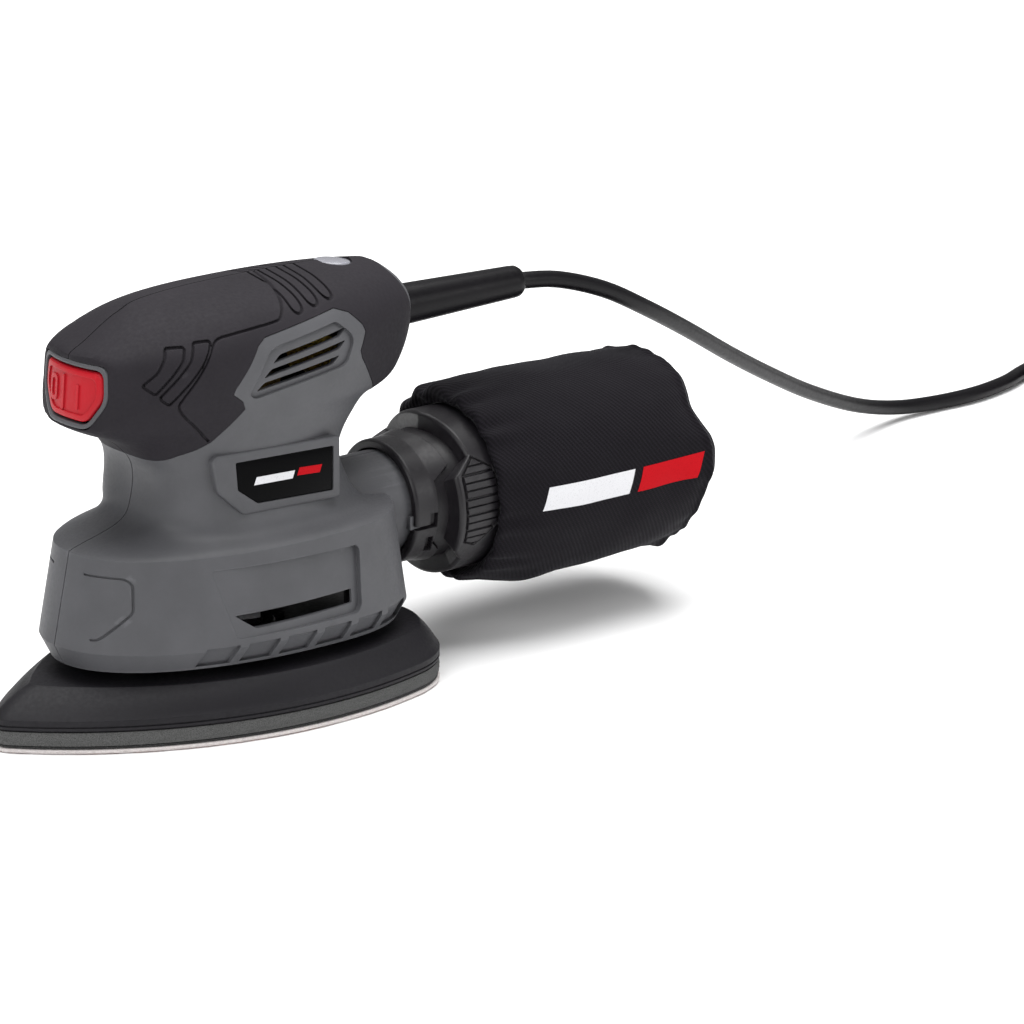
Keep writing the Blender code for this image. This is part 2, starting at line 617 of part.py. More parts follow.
def build_rotor(parts, cutters, finishes):
    centre = (MOTOR_X, 0)
    turned("armature_shaft", [(3.0, 107.5), (3.0, 38.3), (0, 38.3), (0, 107.5)], parts, finishes["steel"],
           (MOTOR_X, 0, 0), steps=16)
    ring("armature_core", BORE_RADIUS, 12.8, 66.3, 83.7, parts, finishes["steel"], centre)
    for name, low, high in (("armature_winding_lower", 61.5, 66.0), ("armature_winding_upper", 84.0, 89.0)):
        profile = [(9.0, high), (10.8, high - 1.4), (10.8, low + 1.4), (9.0, low), (BORE_RADIUS, low),
                   (BORE_RADIUS, high)]
        turned(name, profile, parts, finishes["copper"], (MOTOR_X, 0, 0), steps=20)
    ring("commutator", BORE_RADIUS, 8.0, 89.6, 99.4, parts, finishes["brass"], centre)
    fan = ring("fan", BORE_RADIUS, 26.5, 46.0, 48.0, parts, finishes["black"], centre, 20)
    boolean(fan, ring("fan_hub", BORE_RADIUS, 8.0, 39.0, 47.0, cutters, None, centre), "UNION")
    for i in range(8):
        blade = box(f"fan_blade_{i + 1}", (6.8, -0.8, 39.4), (25.8, 0.8, 46.8), cutters)
        blade.location = (MOTOR_X * MM, 0, 0)
        blade.rotation_euler = (0, 0, math.tau * i / 8)
        boolean(fan, blade, "UNION")

    web = prism("eccentric", [(MOTOR_X + x, y) for x, y in counterweight_outline()], 28.5, 38.0, parts,
                finishes["steel"])
    pin_x = MOTOR_X + ECCENTRIC
    pin = rod("eccentric_pin", (pin_x, 0, 11.5), (pin_x, 0, 29.5), 3.2, cutters, sides=20)
    boolean(web, pin, "UNION")


def counterweight_outline():
    """A heavy half disc on the side away from the crank pin, with a round nose over the pin."""
    def arc(radius, start, sweep, steps):
        angles = [math.radians(start + sweep * i / steps) for i in range(steps + 1)]
        return [(radius * math.cos(a), radius * math.sin(a)) for a in angles]

    return arc(22, 100, 160, 12) + arc(8, -70, 140, 6)


# ---------------------------------------------------------------- pad

def pad_layer(name, low, high, inset, parts, finish):
    outline = mouse_outline(PAD_TIP + inset, PAD_REAR - inset, PAD_HALF - inset, PAD_WIDE_AT, 5.4, 26 - inset)
    return prism(name, outline, low, high, parts, finish)


def dust_hole_cutter(cutters):
    """Round dust holes through the whole pad stack."""
    shape = bmesh.new()
    for x, y in DUST_HOLES:
        made = bmesh.ops.create_cone(shape, cap_ends=True, segments=8, radius1=DUST_HOLE_RADIUS * MM,
                                     radius2=DUST_HOLE_RADIUS * MM, depth=40 * MM)
        bmesh.ops.translate(shape, verts=made["verts"], vec=Vector((x, y, 8)) * MM)
    mesh = bpy.data.meshes.new("dust_holes")
    shape.to_mesh(mesh)
    shape.free()
    obj = bpy.data.objects.new("dust_holes", mesh)
    cutters.objects.link(obj)
    return obj


def build_pad(parts, cutters, finishes):
    holes = dust_hole_cutter(cutters)
    sheet = pad_layer("sanding_sheet", 0.0, SHEET_TOP, 0.0, parts, finishes["grit"])
    hooks = pad_layer("hook_layer", SHEET_TOP + GAP, HOOK_TOP + GAP, 0.4, parts, finishes["black"])
    foam = pad_layer("foam_pad", HOOK_TOP + 2 * GAP, FOAM_TOP, 0.2, parts, finishes["foam"])

    outlines = [
        (FOAM_TOP + GAP, mouse_outline(PAD_TIP, PAD_REAR, PAD_HALF, PAD_WIDE_AT, 5.4, 26)),
        (BAND_TOP, mouse_outline(PAD_TIP, PAD_REAR, PAD_HALF, PAD_WIDE_AT, 5.4, 26)),
        (PLATEN_TOP, mouse_outline(-66, 57.5, 38.4, PAD_WIDE_AT, 3.5, 22)),
    ]
    size = len(outlines[0][1])
    points = [(x, y, z) for z, outline in outlines for x, y in outline]
    faces = [tuple(range(size)), tuple(range(2 * size, 3 * size))]
    for level in range(2):
        for i in range(size):
            j = (i + 1) % size
            faces.append((level * size + i, level * size + j, (level + 1) * size + j, (level + 1) * size + i))
    platen = recalculated(add_mesh("platen", points, faces, parts, finishes["black"]))
    pin_x = MOTOR_X + ECCENTRIC
    boss = rod("platen_boss", (pin_x, 0, 15), (pin_x, 0, 21.5), 13.5, cutters, sides=24)
    boolean(platen, boss, "UNION")
    boolean(platen, rod("bearing_pocket", (pin_x, 0, 10.5), (pin_x, 0, 40), 9.9, cutters, sides=24))
    for piece in (sheet, hooks, foam, platen):
        boolean(piece, holes)
    ring("drive_bearing", 3.5, 9.6, 13.0, 20.0, parts, finishes["steel"], (pin_x, 0))
    for number, (x, y) in enumerate(LEG_PLACES, 1):
        profile = [(4.6, 49.2), (4.6, 45.5), (LEG_RADIUS - 0.6, 43), (LEG_RADIUS - 0.6, 24), (4.6, 21),
                   (4.6, PLATEN_TOP + GAP), (0, PLATEN_TOP + GAP), (0, 49.2)]
        turned(f"flexible_leg_{number}", profile, parts, finishes["rubber"], (x, y, 0), steps=12)


# ---------------------------------------------------------------- dust extraction

def build_dust_parts(parts, finishes):
    """Turned pieces about the port's axis: profiles are (radius, x)."""
    adapter = [(18.8, 60.5), (18.8, 65.5), (20.5, 70.0), (24.5, 75.5), (24.5, 86.5), (22.6, 86.5), (22.6, 77.5),
               (14.0, 72.0), (14.0, PORT_END + 0.6), (16.2, PORT_END + 0.6), (16.2, 60.5)]
    turned("dust_adapter", adapter, parts, finishes["black"], (0, 0, PORT_Z), "X", 20)
    collar = [(22.2, 78.6), (22.2, 87.0), (26.2, 87.0), (26.2, 89.0), (20.4, 89.0), (20.4, 78.6)]
    turned("bag_collar", collar, parts, finishes["black"], (0, 0, PORT_Z), "X", 20)
    outer = [(24.0, 89.4), (29.0, 92.0), (BAG_RADIUS, 98.0), (BAG_RADIUS, 155.0), (28.5, 161.5), (20.0, 165.5),
             (0, 167.0)]
    inner = [(0, 165.5), (19.2, 164.0), (27.2, 160.5), (BAG_RADIUS - 1.4, 154.5), (BAG_RADIUS - 1.4, 98.5),
             (28.0, 93.2), (24.0, 90.9), (20.6, 90.9), (20.6, 89.4)]
    turned("dust_bag", outer + inner, parts, finishes["fabric"], (0, 0, PORT_Z), "X", 18)


def make_finishes():
    return {
        "grey": material("grey housing plastic", (0.10, 0.105, 0.115), 0.5),
        "rubber": material("soft grip rubber", (0.035, 0.033, 0.036), 0.8),
        "black": material("black plastic", (0.02, 0.02, 0.022), 0.45),
        "gloss": material("gloss black badge", (0.004, 0.004, 0.005), 0.15),
        "red": material("red button plastic", (0.60, 0.02, 0.035), 0.4),
        "foam": material("grey foam", (0.13, 0.135, 0.13), 0.95),
        "grit": material("abrasive sheet", (0.75, 0.68, 0.64), 0.95),
        "fabric": material("black twill", (0.012, 0.012, 0.015), 0.9),
        "cord": material("black cord", (0.018, 0.018, 0.02), 0.4),
        "steel": material("bright steel", (0.6, 0.6, 0.6), 0.3, 1.0),
        "alloy": material("cast alloy", (0.5, 0.5, 0.52), 0.5, 1.0),
        "brass": material("brass", (0.7, 0.5, 0.2), 0.35, 1.0),
        "copper": material("copper winding", (0.6, 0.25, 0.1), 0.4, 1.0),
        "carbon": material("carbon", (0.03, 0.03, 0.03), 0.7),
        "yellow": material("capacitor yellow", (0.7, 0.5, 0.05), 0.4),
        "clear": material("clear lens", (0.8, 0.8, 0.82), 0.15),
    }


def main():
    clear_scene()
    parts = make_collection("detail_mouse_sander")
    cutters = make_collection("cutters")
    finishes = make_finishes()
    build_housing(parts, cutters, finishes)
    build_fasteners(parts, finishes)
    build_switch(parts, finishes)
    build_cord(parts, cutters, finishes)
    build_stator(parts, cutters, finishes)
    build_rotor(parts, cutters, finishes)
    build_pad(parts, cutters, finishes)
    build_dust_parts(parts, finishes)


main()
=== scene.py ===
"""Looks of the detail mouse sander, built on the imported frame.

Helpers take millimetres in the frame's axes (-X the pad's tip, +X the rear, +Z up) and make
objects in metres.
"""
import math
from contextlib import contextmanager
import bmesh
import bpy
from mathutils import Matrix, Vector, noise


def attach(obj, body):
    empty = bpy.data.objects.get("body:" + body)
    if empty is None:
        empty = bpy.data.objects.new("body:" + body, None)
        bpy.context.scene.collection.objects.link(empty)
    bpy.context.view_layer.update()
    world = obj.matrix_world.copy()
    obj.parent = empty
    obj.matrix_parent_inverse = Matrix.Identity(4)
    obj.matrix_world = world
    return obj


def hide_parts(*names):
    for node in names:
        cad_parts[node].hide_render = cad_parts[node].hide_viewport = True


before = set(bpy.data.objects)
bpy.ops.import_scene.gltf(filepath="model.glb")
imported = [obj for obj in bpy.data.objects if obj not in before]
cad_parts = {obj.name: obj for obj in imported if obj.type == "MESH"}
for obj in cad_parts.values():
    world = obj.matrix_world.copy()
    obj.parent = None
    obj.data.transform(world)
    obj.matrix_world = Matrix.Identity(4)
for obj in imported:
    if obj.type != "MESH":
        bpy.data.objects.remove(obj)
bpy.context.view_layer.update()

MM = 0.001
MERGE = 0.000004             # points closer than this, in metres, are one

# housing skin: front x, front z, rear x, rear z, half width, side z, widest x, front and rear power, creased
SKIN_ROWS = [
    (-54.5, 20.6, 52.0, 19.8, 34.0, 20.3, 10, 2.1, 2.8, True),
    (-57.5, 26.8, 54.5, 25.4, 37.0, 25.9, 10, 2.1, 2.8, True),
    (-51.6, 53.0, 51.5, 53.2, 33.6, 52.3, 9, 2.2, 2.8, True),
    (-31.6, 61.0, 40.2, 59.6, 25.0, 59.4, 3, 3.2, 2.6, False),
    (-30.6, 63.8, 38.5, 64.4, 24.2, 62.6, 2, 3.8, 2.5, False),
    (-30.5, 76.0, 38.5, 76.0, 24.0, 76.0, 2, 3.8, 2.5, False),
    (-35.0, 81.0, 45.0, 83.2, 24.8, 82.5, 2, 3.0, 2.4, False),
    (-53.6, 91.3, 59.5, 90.6, 27.0, 92.0, 3, 2.7, 2.3, False),
    (-53.4, 99.0, 63.6, 99.0, 28.3, 101.0, 5, 2.6, 2.3, False),
    (-51.4, 107.8, 65.2, 108.0, 26.8, 110.0, 6, 2.6, 2.3, False),
    (-44.0, 112.5, 62.9, 113.2, 21.5, 116.5, 6, 2.4, 2.3, False),
    (-36.0, 117.3, 58.2, 118.0, 12.0, 120.7, 6, 2.3, 2.2, False),
    (-30.0, 119.8, 54.0, 120.2, 0.0, 122.9, 8, 2.2, 2.2, True),
]
ROW_SPACING = 1.5
RING_COUNT = 110
NOSE_FLAT_FROM = 85.0
NOSE_X, NOSE_Z = -51.5, 91.0
NOSE_LEAN = 0.1              # how fast the nose's face leans back, per mm of height
NOSE_CURVE = 0.0137          # how fast the nose falls back to each side, per mm of width squared
WALL = 2.6
SEAM = 0.18

GRIP_OUTLINE = [
    (-80, 70), (-36, 74), (-31.8, 77.6), (-27.5, 80.3), (-23, 81.9), (-19.2, 83.6), (-15.4, 87.0),
    (-11.5, 90.5), (-9.6, 92.2), (-10.6, 94.6), (-13.9, 97.2), (-13.2, 98.8), (-8.5, 104.4),
    (-4.8, 109.4), (-2.0, 111.2), (6.6, 112.3), (24.6, 114.6), (29.3, 112.9), (33.2, 109.0),
    (34.0, 106.9), (31.6, 101.8), (32.4, 99.4), (37.7, 92), (43, 85), (50, 76), (58.2, 70),
    (60.6, 100), (58.8, 113), (54.6, 122), (54.6, 140), (-80, 140),
]
GRIP_DEPTH = 1.6
GRIP_PROUD = 0.12
GRIP_GAP = 0.13              # between the soft grip's edge and its pocket
BADGE_OUTLINE = [(-11.8, 76.5), (22.4, 75.2), (22.1, 62.4), (-4.4, 63.6), (-11.2, 68.6)]
BEZEL_OUTLINE = [(-19.8, 78.4), (-18.2, 79.6), (25.0, 77.8), (24.8, 59.6), (-9.5, 60.9), (-18.2, 69.1)]
BEZEL_BACK, BEZEL_FACE = 21.6, 25.0
ROCKER_OUTLINE = [(-12.9, 106.2), (12.9, 106.2), (13.5, 98.4), (8.4, 91.4), (-8.4, 91.4), (-13.5, 98.4)]
ROCKER_Z = 98.0
SCREW_PLACES = [(-36, 110.5), (-24, 80), (27.5, 72), (50, 92), (-45, 44), (44.5, 28.2)]
GRIP_SCREWS = (1, 4)
LENS_X, LENS_LENGTH, LENS_WIDTH = 42.0, 5.4, 5.6      # centre and half sizes
PIN_X = 2.8                  # the eccentric's pin, which the pad's bearing sits on

PORT_Z = 46.0
PORT_RADIUS = 15.7
PORT_BORE = 13.5
PORT_ROOT, PORT_END = 35.5, 69.0
BAG_RADIUS = 31.0

CORD_Z = 104.3
CORD_RADIUS = 2.6
BOOT_START, BOOT_END = 40.0, 111.5
CORD_ROUTE = [
    (111.3, 0, 104.3), (127, 0, 102.2), (146, 0.4, 96), (166, 3.2, 86.2), (192, 12.8, 73),
    (223, 27, 57), (256, 42.7, 41), (289, 58, 26), (324, 72.5, 12.2), (350, 79.6, 5),
    (370, 80.2, 2.9), (390, 79.6, 2.8), (410, 83.4, 2.8), (426, 89.6, 2.8),
]
COIL_CENTRE = (465.3, 63.6)
COIL_OUTER = 39.6
COIL_COLUMNS = 4
COIL_START = 108.0           # angle where the cord joins the coil, in degrees
COIL_STEPS = 40              # points on each turn
PLUG_X, PLUG_START_Y, PLUG_Z = 502.2, 41.0, 7.2
PLUG_CORD_DROP = 2.6         # how far the cord enters the plug's boot below the plug's middle

SHEET_TOP = 1.1
HOOK_TOP = 1.6
FOAM_TOP = 6.1
BAND_TOP = 10.0
PLATEN_TOP = 17.0
PAD_TIP, PAD_REAR, PAD_HALF, PAD_WIDE_AT = -77.5, 62.5, 43.0, 12.0
DUST_HOLES = [(-46, 0), (-18, 24), (-18, -24), (18, 30), (18, -30), (46, 0)]
DUST_HOLE_RADIUS = 3.5


# ---------------------------------------------------------------- mesh helpers

def new_object(name, mesh, finish=None):
    obj = bpy.data.objects.new(name, mesh)
    bpy.context.scene.collection.objects.link(obj)
    if finish:
        mesh.materials.clear()
        mesh.materials.append(finish)
    return obj


def mesh_object(name, points, faces, finish=None, smooth=40):
    mesh = bpy.data.meshes.new(name)
    mesh.from_pydata([Vector(p) * MM for p in points], [], faces)
    mesh.validate()
    obj = new_object(name, mesh, finish)
    shade(obj, smooth)
    return obj


def shade(obj, degrees=40):
    obj.data.shade_smooth()
    obj.data.set_sharp_from_angle(angle=math.radians(degrees))
    return obj


@contextmanager
def editing(mesh):
    """The mesh as a bmesh, written back afterwards."""
    shape = bmesh.new()
    shape.from_mesh(mesh)
    yield shape
    shape.to_mesh(mesh)
    shape.free()


def tidy(obj):
    """Merge doubled points and turn the faces outwards."""
    with editing(obj.data) as shape:
        bmesh.ops.remove_doubles(shape, verts=shape.verts, dist=MERGE)
        bmesh.ops.dissolve_degenerate(shape, edges=shape.edges, dist=MERGE / 2)
        bmesh.ops.recalc_face_normals(shape, faces=shape.faces)
    return obj


def applied(obj):
    """Bake an object's modifiers into its mesh."""
    graph = bpy.context.evaluated_depsgraph_get()
    graph.update()
    mesh = bpy.data.meshes.new_from_object(obj.evaluated_get(graph))
    obj.modifiers.clear()
    obj.data = mesh
    return obj


def cut(obj, *others, operation="DIFFERENCE", solver="MANIFOLD"):
    """Apply Booleans in order, and remove the tools."""
    for other in others:
        modifier = obj.modifiers.new("cut", "BOOLEAN")
        modifier.operation = operation
        modifier.solver = solver
        modifier.object = other
        applied(obj)
        bpy.data.objects.remove(other, do_unlink=True)
    return obj


def joined(name, objects):
    """One mesh object made of several, which are removed."""
    shape = bmesh.new()
    for obj in objects:
        mesh = obj.data.copy()
        mesh.transform(obj.matrix_world)
        shape.from_mesh(mesh)
        bpy.data.objects.remove(obj, do_unlink=True)
    mesh = bpy.data.meshes.new(name)
    shape.to_mesh(mesh)
    shape.free()
    return new_object(name, mesh)


def prism(name, outline, low, high, along="Z", finish=None):
    """A flat outline given a thickness, along Z from (x, y), along Y from (x, z) or along X from (y, z)."""
    place = {"Z": lambda a, b, h: (a, b, h),
             "Y": lambda a, b, h: (a, h, b),
             "X": lambda a, b, h: (h, a, b)}[along]
    count = len(outline)
    points = [place(a, b, low) for a, b in outline] + [place(a, b, high) for a, b in outline]
    faces = [tuple(range(count)), tuple(range(count, 2 * count))]
    faces += [(i, (i + 1) % count, count + (i + 1) % count, count + i) for i in range(count)]
    return tidy(mesh_object(name, points, faces, finish))


def area_of(outline):
    """The outline's area, negative where it runs clockwise."""
    return sum(a[0] * b[1] - b[0] * a[1] for a, b in zip(outline, outline[1:] + outline[:1])) / 2


def grown(outline, distance):
    """The outline with each corner moved outwards by the distance."""
    count = len(outline)
    side = 1 if area_of(outline) > 0 else -1
    moved = []
    for i, corner in enumerate(outline):
        here = Vector(corner)
        before = (here - Vector(outline[i - 1])).normalized()
        after = (Vector(outline[(i + 1) % count]) - here).normalized()
        normal = Vector((before.y + after.y, -before.x - after.x)).normalized() * side
        square = Vector((after.y, -after.x)) * side
        moved.append(tuple(here + normal * distance / max(normal.dot(square), 0.5)))
    return moved


def rounded(outline, radius, steps=5):
    """The outline with its corners rounded by quadratic curves."""
    points = []
    count = len(outline)
    for i, corner in enumerate(outline):
        here, before, after = Vector(corner), Vector(outline[i - 1]), Vector(outline[(i + 1) % count])
        reach = min(radius, (before - here).length * 0.45, (after - here).length * 0.45)
        start = here + (before - here).normalized() * reach
        end = here + (after - here).normalized() * reach
        for k in range(steps + 1):
            t = k / steps
            points.append(tuple(start * (1 - t) ** 2 + here * 2 * t * (1 - t) + end * t * t))
    return points


def ribbon(points, width, closed=False):
    """The two lines that follow a line at half a width to each side."""
    count = len(points)
    left, right = [], []
    for i in range(count):
        if closed:
            before, after = points[i - 1], points[(i + 1) % count]
        else:
            before, after = points[max(i - 1, 0)], points[min(i + 1, count - 1)]
        along = (Vector(after) - Vector(before)).normalized()
        aside = Vector((-along.y, along.x)) * width / 2
        left.append(tuple(Vector(points[i]) + aside))
        right.append(tuple(Vector(points[i]) - aside))
    return left, right


def groove_line(name, points, width, low, high):
    """An open line of some width as a prism along Y."""
    left, right = ribbon(points, width)
    return prism(name, left + right[::-1], low, high, "Y")


def groove_loop(name, points, width, low, high):
    """A closed line of some width as a ring-shaped prism along Y."""
    outer, inner = ribbon(points, width, closed=True)
    count = len(points)
    corners = [(a, h, b) for ring in (outer, inner) for h in (low, high) for a, b in ring]
    faces = []
    for i in range(count):
        j = (i + 1) % count
        faces.append((i, j, count + j, count + i))
        faces.append((2 * count + i, 2 * count + j, 3 * count + j, 3 * count + i))
        faces.append((i, j, 2 * count + j, 2 * count + i))
        faces.append((count + i, count + j, 3 * count + j, 3 * count + i))
    return tidy(mesh_object(name, corners, faces))


def smoothed(points, steps=6, closed=False):
    """A Catmull-Rom curve through the points."""
    points = [Vector(p) for p in points]
    if closed:
        ends = [points[-1], *points, points[0], points[1]]
    else:
        ends = [2 * points[0] - points[1], *points, 2 * points[-1] - points[-2]]
    curve = []
    for a, b, c, d in zip(ends, ends[1:], ends[2:], ends[3:]):
        for i in range(steps):
            t = i / steps
            curve.append(0.5 * (2 * b + (c - a) * t + (2 * a - 5 * b + 4 * c - d) * t * t
                                + (3 * b - a - 3 * c + d) * t ** 3))
    if not closed:
        curve.append(points[-1])
    return [tuple(p) for p in curve]


def lathe(name, profile, centre, axis="X", steps=96, finish=None, smooth=40):
    """A closed (radius, height) loop turned about an axis along X, Y or Z."""
    count = len(profile)
    turn = {"X": lambda r, h, a: (h, r * math.cos(a), r * math.sin(a)),
            "Y": lambda r, h, a: (r * math.cos(a), h, r * math.sin(a)),
            "Z": lambda r, h, a: (r * math.cos(a), r * math.sin(a), h)}[axis]
    points = [Vector(turn(r, h, math.tau * k / steps)) + Vector(centre)
              for k in range(steps) for r, h in profile]
    faces = []
    for k in range(steps):
        here, there = k * count, (k + 1) % steps * count
        for i in range(count):
            j = (i + 1) % count
            faces.append((here + i, here + j, there + j, there + i))
    obj = tidy(mesh_object(name, points, faces, finish))
    return shade(obj, smooth)


def bevelled(obj, width, segments=3, angle=35):
    modifier = obj.modifiers.new("edges", "BEVEL")
    modifier.width = width * MM
    modifier.segments = segments
    modifier.limit_method = "ANGLE"
    modifier.angle_limit = math.radians(angle)
    modifier.harden_normals = False
    return shade(applied(obj), 50)


def grid_faces(rows, columns, wrap=False):
    """Faces between rows of points, closed from the last column to the first where they wrap."""
    faces = []
    last = columns if wrap else columns - 1
    for level in range(rows - 1):
        for i in range(last):
            j = (i + 1) % columns
            faces.append((level * columns + i, level * columns + j,
                          (level + 1) * columns + j, (level + 1) * columns + i))
    return faces


def stack(name, rows, finish=None):
    """Closed rows of points joined row to row, with a face at each end."""
    size = len(rows[0])
    points = [p for row in rows for p in row]
    faces = grid_faces(len(rows), size, wrap=True)
    faces += [tuple(range(size)), tuple(range(len(points) - size, len(points)))]
    return tidy(mesh_object(name, points, faces, finish))


def mouse_outline(tip_x, rear_x, half_width, wide_at, tip_radius, rear_radius, steps=(10, 40, 16)):
    """Iron shape: a small tip arc, long side arcs and rounded rear corners, from the tip round."""
    reach = wide_at - tip_x - tip_radius
    side = (reach ** 2 + half_width ** 2 - tip_radius ** 2) / (2 * (half_width - tip_radius))
    corner_x = rear_x - rear_radius
    corner_y = half_width - side + math.sqrt((side - rear_radius) ** 2 - (corner_x - wide_at) ** 2)
    tip_turn = math.pi - math.atan2(side - half_width, reach)
    corner_angle = math.atan2(corner_y - half_width + side, corner_x - wide_at)
    arcs = [
        (tip_x + tip_radius, 0, tip_radius, math.pi, tip_turn, steps[0]),
        (wide_at, half_width - side, side, tip_turn, corner_angle, steps[1]),
        (corner_x, corner_y, rear_radius, corner_angle, 0, steps[2]),
    ]
    half = []
    for centre_x, centre_y, radius, start, end, count in arcs:
        for i in range(count + 1):
            angle = start + (end - start) * i / count
            point = (centre_x + radius * math.cos(angle), centre_y + radius * math.sin(angle))
            if not half or math.dist(point, half[-1]) > 0.01:
                half.append(point)
    return half + [(x, -y) for x, y in reversed(half[1:])]


# ---------------------------------------------------------------- materials

class Nodes:
    """A short way to write a material's node tree."""

    def __init__(self, name):
        self.material = bpy.data.materials.new(name)
        self.material.use_nodes = True
        self.tree = self.material.node_tree
        self.shader = self.tree.nodes["Principled BSDF"]
        self.place = self.add("ShaderNodeTexCoord").outputs["Object"]

    def link(self, source, target):
        self.tree.links.new(source, target)

    def feed(self, socket, value):
        """Link a socket or set its value; None leaves it."""
        if isinstance(value, bpy.types.NodeSocket):
            self.link(value, socket)
        elif value is not None:
            socket.default_value = value

    def add(self, kind, inputs=None, **settings):
        node = self.tree.nodes.new(kind)
        for key, value in settings.items():
            setattr(node, key, value)
        for key, value in (inputs or {}).items():
            self.feed(node.inputs[key], value)
        return node

    def set(self, **values):
        for key, value in values.items():
            self.feed(self.shader.inputs[key.replace("_", " ")], value)

    def noise(self, scale, detail=3.0, roughness=0.55, place=None):
        inputs = {"Scale": scale, "Detail": detail, "Roughness": roughness, "Vector": place or self.place}
        return self.add("ShaderNodeTexNoise", inputs).outputs["Fac"]

    def cells(self, scale):
        return self.add("ShaderNodeTexVoronoi", {"Scale": scale, "Vector": self.place}).outputs["Distance"]

    def bands(self, scale, distortion=0.0):
        inputs = {"Scale": scale, "Distortion": distortion, "Vector": self.place}
        return self.add("ShaderNodeTexWave", inputs, wave_type="BANDS", bands_direction="Z").outputs["Fac"]

    def spread(self, value, low, high, from_low=0.3, from_high=0.7):
        inputs = {"From Min": from_low, "From Max": from_high, "To Min": low, "To Max": high, "Value": value}
        return self.add("ShaderNodeMapRange", inputs).outputs["Result"]

    def mix(self, share, first, second):
        first, second = (colour if isinstance(colour, bpy.types.NodeSocket) else (*colour, 1)
                         for colour in (first, second))
        inputs = {"Factor": share, 6: first, 7: second}
        return self.add("ShaderNodeMix", inputs, data_type="RGBA").outputs[2]

    def maths(self, operation, first, second=None):
        return self.add("ShaderNodeMath", {0: first, 1: second}, operation=operation).outputs[0]

    def bump(self, height, strength, distance, below=None):
        inputs = {"Strength": strength, "Distance": distance * MM, "Height": height, "Normal": below}
        return self.add("ShaderNodeBump", inputs).outputs["Normal"]

    def soft_edges(self, radius):
        return self.add("ShaderNodeBevel", {"Radius": radius * MM}, samples=4).outputs["Normal"]


def times(colour, factor):
    return tuple(c * factor for c in colour)


def moulded(name, colour, roughness, grain=0.25, edge=0.35, lift=1.5, gloss=0.4):
    """Moulded plastic: fine spark texture, faint tone and gloss changes, rounded worn edges."""
    n = Nodes(name)
    tone = n.spread(n.noise(60, 4), 0.9, 1.1)
    worn = n.spread(n.add("ShaderNodeNewGeometry").outputs["Pointiness"], 0.0, 1.0, 0.53, 0.60)
    scuffed = n.maths("MULTIPLY", worn, n.spread(n.noise(400, 5, 0.7), 0.0, 1.0))
    base = n.mix(scuffed, colour, tuple(min(1, c * lift + 0.01) for c in colour))
    shaded = n.add("ShaderNodeHueSaturation", {"Color": base, "Value": tone})
    n.set(Base_Color=shaded.outputs["Color"], Specular_IOR_Level=gloss,
          Roughness=n.spread(n.noise(900, 3), roughness - 0.05, roughness + 0.07),
          Normal=n.bump(n.noise(2600, 2, 0.6), grain, 0.05, n.soft_edges(edge) if edge else None))
    return n.material


def metal(name, colour, roughness, scale=700):
    """Brushed metal, with its lines drawn out along Z."""
    n = Nodes(name)
    stretched = n.add("ShaderNodeMapping", {"Scale": (1, 1, 14), "Vector": n.place})
    lines = n.noise(scale, 4, 0.6, stretched.outputs["Vector"])
    n.set(Base_Color=n.mix(n.noise(90, 4), colour, times(colour, 0.72)), Metallic=1.0,
          Roughness=n.spread(lines, roughness - 0.08, roughness + 0.12), Normal=n.bump(lines, 0.15, 0.02))
    return n.material


def gloss_black():
    n = Nodes("badge gloss black")
    n.set(Base_Color=(0.0022, 0.0022, 0.0025, 1), Roughness=n.spread(n.noise(300, 4), 0.16, 0.26),
          Specular_IOR_Level=0.03, Normal=n.bump(n.noise(150, 2), 0.05, 0.02))
    return n.material


def print_ink(name, colour):
    """Screen print on plastic or cloth, thin enough for the ground to show at its specks."""
    n = Nodes(name)
    specks = n.spread(n.noise(3200, 3, 0.7), 0.0, 1.0, 0.56, 0.75)
    n.set(Base_Color=n.mix(specks, colour, times(colour, 0.55)), Roughness=0.7,
          Specular_IOR_Level=0.08, Normal=n.bump(n.noise(2500, 3), 0.35, 0.06))
    return n.material


def twill(name, colour):
    """Diagonal twill lines on the bag's cloth, with yarn breaks, lint and sheen."""
    n = Nodes(name)
    split = n.add("ShaderNodeSeparateXYZ", {"Vector": n.add("ShaderNodeUVMap").outputs["UV"]})
    across, along = split.outputs["Y"], split.outputs["X"]
    diagonal = n.maths("ADD", n.maths("MULTIPLY", across, 3000.0), n.maths("MULTIPLY", along, 4300.0))
    ridge = n.maths("SINE", n.maths("ADD", diagonal, n.maths("MULTIPLY", n.noise(260, 3), 1.6)))
    cross = n.maths("SINE", n.maths("SUBTRACT", n.maths("MULTIPLY", across, 9000.0),
                                    n.maths("MULTIPLY", along, 2500.0)))
    yarn = n.maths("ADD", ridge, n.maths("MULTIPLY", cross, 0.35))
    cloth = n.mix(n.spread(yarn, 0.0, 1.0, -1.3, 1.3), times(colour, 0.5), times(colour, 1.5))
    dust = n.spread(n.noise(1500, 2, 0.8), 0.0, 0.10, 0.66, 0.8)
    n.set(Base_Color=n.mix(dust, cloth, (0.12, 0.12, 0.13)), Roughness=0.85, Specular_IOR_Level=0.15,
          Sheen_Weight=0.06, Sheen_Roughness=0.4, Sheen_Tint=(0.55, 0.56, 0.62, 1),
          Normal=n.bump(yarn, 0.6, 0.10, n.bump(n.noise(90, 4, 0.6), 0.25, 0.8)))
    return n.material


